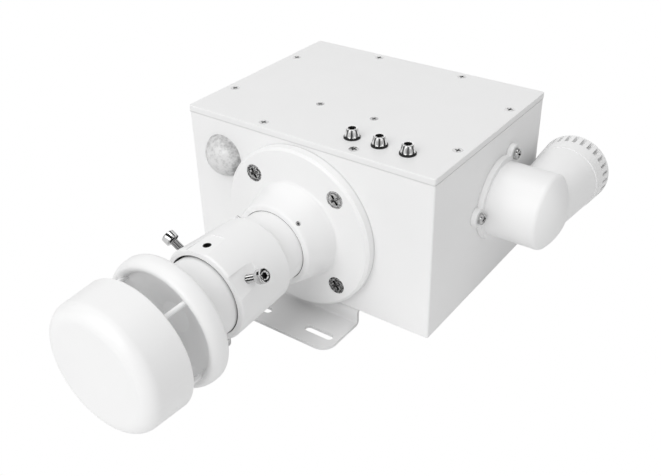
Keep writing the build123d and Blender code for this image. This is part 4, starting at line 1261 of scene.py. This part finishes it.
@dataclass
class Studio:
    """White sweep, soft lamps and the camera at the photograph's place."""

    camera_place_mm: Point3 = (234.4, -354.8, 284.65)
    camera_turn_deg: Point3 = (58.208, 1.025, 35.390)
    lens_mm: float = 46.53
    sensor_mm: float = 36.0
    shift: Point2 = (-0.00676, -0.01886)
    clip_start_m: float = 0.01
    floor_m: float = 6.0
    # White paper gives back nine tenths of the light
    paper_reflectance: float = 0.9
    world_strength: float = 0.51
    softbox_size_mm: float = 900.0
    softbox_aim_mm: Point3 = (0.0, -40.0, 50.0)
    front_watts: float = 6.9
    front_place_mm: Point3 = (0.0, -1050.0, 900.0)
    top_watts: float = 3.7
    top_place_mm: Point3 = (0.0, -200.0, 1300.0)
    flags: tuple[Flag, ...] = (
        Flag(-57.0, 6.0, 300.0, 900.0),
        Flag(-152.0, 6.0, 760.0, 900.0),
        Flag(40.0, 6.0, 520.0, 1000.0),
        Flag(2.0, 6.0, 170.0, 900.0),
        Flag(-80.0, 58.0, 1500.0, 520.0),
        Flag(95.0, 62.0, 1500.0, 300.0),
        Flag(165.0, 0.2, 170.0, 420.0, 215.0, True),
    )

    def build(self) -> None:
        """Make the world, floor, lamps, flags and camera."""
        self.make_world()
        self.make_floor()
        self.make_lamp("front_softbox", self.front_place_mm, self.front_watts)
        self.make_lamp("top_softbox", self.top_place_mm, self.top_watts)
        for number, flag in enumerate(self.flags, start=1):
            self.make_flag(f"black_flag_{number}", flag)
        self.make_camera()

    def make_world(self) -> None:
        """Light the scene evenly, and show pure white to the camera, metal and glass."""
        world = bpy.data.worlds.new("white_studio")
        bpy.context.scene.world = world
        world.use_nodes = True
        tree = world.node_tree
        tree.nodes.clear()
        rays = add_node(tree, "ShaderNodeLightPath")
        seen = add_node(
            tree,
            "ShaderNodeMath",
            {"operation": "MAXIMUM"},
            {"0": rays.outputs["Is Camera Ray"], "1": rays.outputs["Is Glossy Ray"]},
        )
        also = add_node(
            tree,
            "ShaderNodeMath",
            {"operation": "MAXIMUM"},
            {"0": seen.outputs["Value"], "1": rays.outputs["Is Transmission Ray"]},
        )
        light, backdrop = (
            add_node(
                tree,
                "ShaderNodeBackground",
                {"Color": linear("#FFFFFF"), "Strength": strength},
            )
            for strength in (self.world_strength, 1.0)
        )
        mix = add_node(
            tree,
            "ShaderNodeMixShader",
            links={
                "0": also.outputs["Value"],
                "1": light.outputs["Background"],
                "2": backdrop.outputs["Background"],
            },
        )
        add_node(tree, "ShaderNodeOutputWorld", links={"Surface": mix.outputs["Shader"]})

    def make_floor(self) -> None:
        """Lay a floor that the camera sees as white, and that lights the object as paper does."""
        mesh = bpy.data.meshes.new("floor")
        half = self.floor_m / 2
        corners = [(-half, -half, 0), (half, -half, 0), (half, half, 0), (-half, half, 0)]
        mesh.from_pydata(corners, [], [(0, 1, 2, 3)])
        floor = bpy.data.objects.new("floor", mesh)
        bpy.context.scene.collection.objects.link(floor)
        material = bpy.data.materials.new("white_sweep")
        material.use_nodes = True
        tree = material.node_tree
        tree.nodes.clear()
        rays = add_node(tree, "ShaderNodeLightPath")
        grey = self.paper_reflectance
        paper = add_node(tree, "ShaderNodeBsdfDiffuse", {"Color": (grey, grey, grey, 1.0)})
        glow = add_node(
            tree,
            "ShaderNodeEmission",
            {"Color": linear("#FFFFFF"), "Strength": 1.0},
        )
        mix = add_node(
            tree,
            "ShaderNodeMixShader",
            links={
                "0": rays.outputs["Is Camera Ray"],
                "1": paper.outputs["BSDF"],
                "2": glow.outputs["Emission"],
            },
        )
        add_node(tree, "ShaderNodeOutputMaterial", links={"Surface": mix.outputs["Shader"]})
        mesh.materials.append(material)

    def make_lamp(self, name: str, place_mm: Point3, watts: float) -> None:
        """Hang a square softbox that looks at the object.

        Args:
            name: Name of the lamp.
            place_mm: Where it hangs.
            watts: Its power.
        """
        lamp = bpy.data.lights.new(name, "AREA")
        lamp.energy = watts
        lamp.size = self.softbox_size_mm * MM
        holder = bpy.data.objects.new(name, lamp)
        holder.location = Vector(place_mm) * MM
        aim = Vector(self.softbox_aim_mm) * MM - holder.location
        holder.rotation_euler = aim.to_track_quat("-Z", "Y").to_euler()
        bpy.context.scene.collection.objects.link(holder)

    def make_flag(self, name: str, flag: Flag) -> None:
        """Hang a black flag round the object, which bright metal shows as a dark line.

        Args:
            name: Name of the flag.
            flag: Its direction and size.
        """
        turn, rise = math.radians(flag.turn_deg), math.radians(flag.rise_deg)
        level_way = Vector((math.cos(turn), math.sin(turn), 0))
        outward = level_way * math.cos(rise) + Vector((0, 0, math.sin(rise)))
        across = Vector((-math.sin(turn), math.cos(turn), 0)) * (flag.width_mm / 2)
        upward = level_way if flag.lying else outward.cross(across).normalized()
        upward = upward * (flag.height_mm / 2)
        middle = outward * flag.reach_mm
        mesh = bmesh.new()
        corners = []
        for side, level in ((-1, -1), (1, -1), (1, 1), (-1, 1)):
            corners.append(mesh.verts.new((middle + across * side + upward * level) * MM))
        mesh.faces.new(corners)
        data = bpy.data.meshes.new(name)
        mesh.to_mesh(data)
        mesh.free()
        data.materials.append(BLACK_FLOCK.material())
        card = bpy.data.objects.new(name, data)
        card.visible_camera = False
        card.visible_diffuse = False
        card.visible_shadow = False
        bpy.context.scene.collection.objects.link(card)

    def make_camera(self) -> None:
        """Place the camera where the photograph was taken from."""
        camera = bpy.data.cameras.new("camera")
        camera.lens = self.lens_mm
        camera.sensor_width = self.sensor_mm
        camera.shift_x, camera.shift_y = self.shift
        camera.clip_start = self.clip_start_m
        holder = bpy.data.objects.new("camera", camera)
        holder.location = Vector(self.camera_place_mm) * MM
        turn = [math.radians(angle) for angle in self.camera_turn_deg]
        holder.rotation_euler = Euler(turn, "XYZ")
        bpy.context.scene.collection.objects.link(holder)
        bpy.context.scene.camera = holder


def main() -> None:
    """Load the frame, dress every sub-assembly and set the studio."""
    logging.basicConfig(level=logging.INFO, format="%(message)s")
    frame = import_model()
    bpy.context.scene.view_settings.view_transform = "Standard"
    for assembly in (
        Enclosure(),
        StatusLights(),
        LightSensor(),
        NeckAndCollar(),
        WindHead(),
        AirPath(),
        Electronics(),
        GlandAndBracket(),
    ):
        assembly.build(frame)
    Studio().build()


if __name__ == "__main__":
    main()
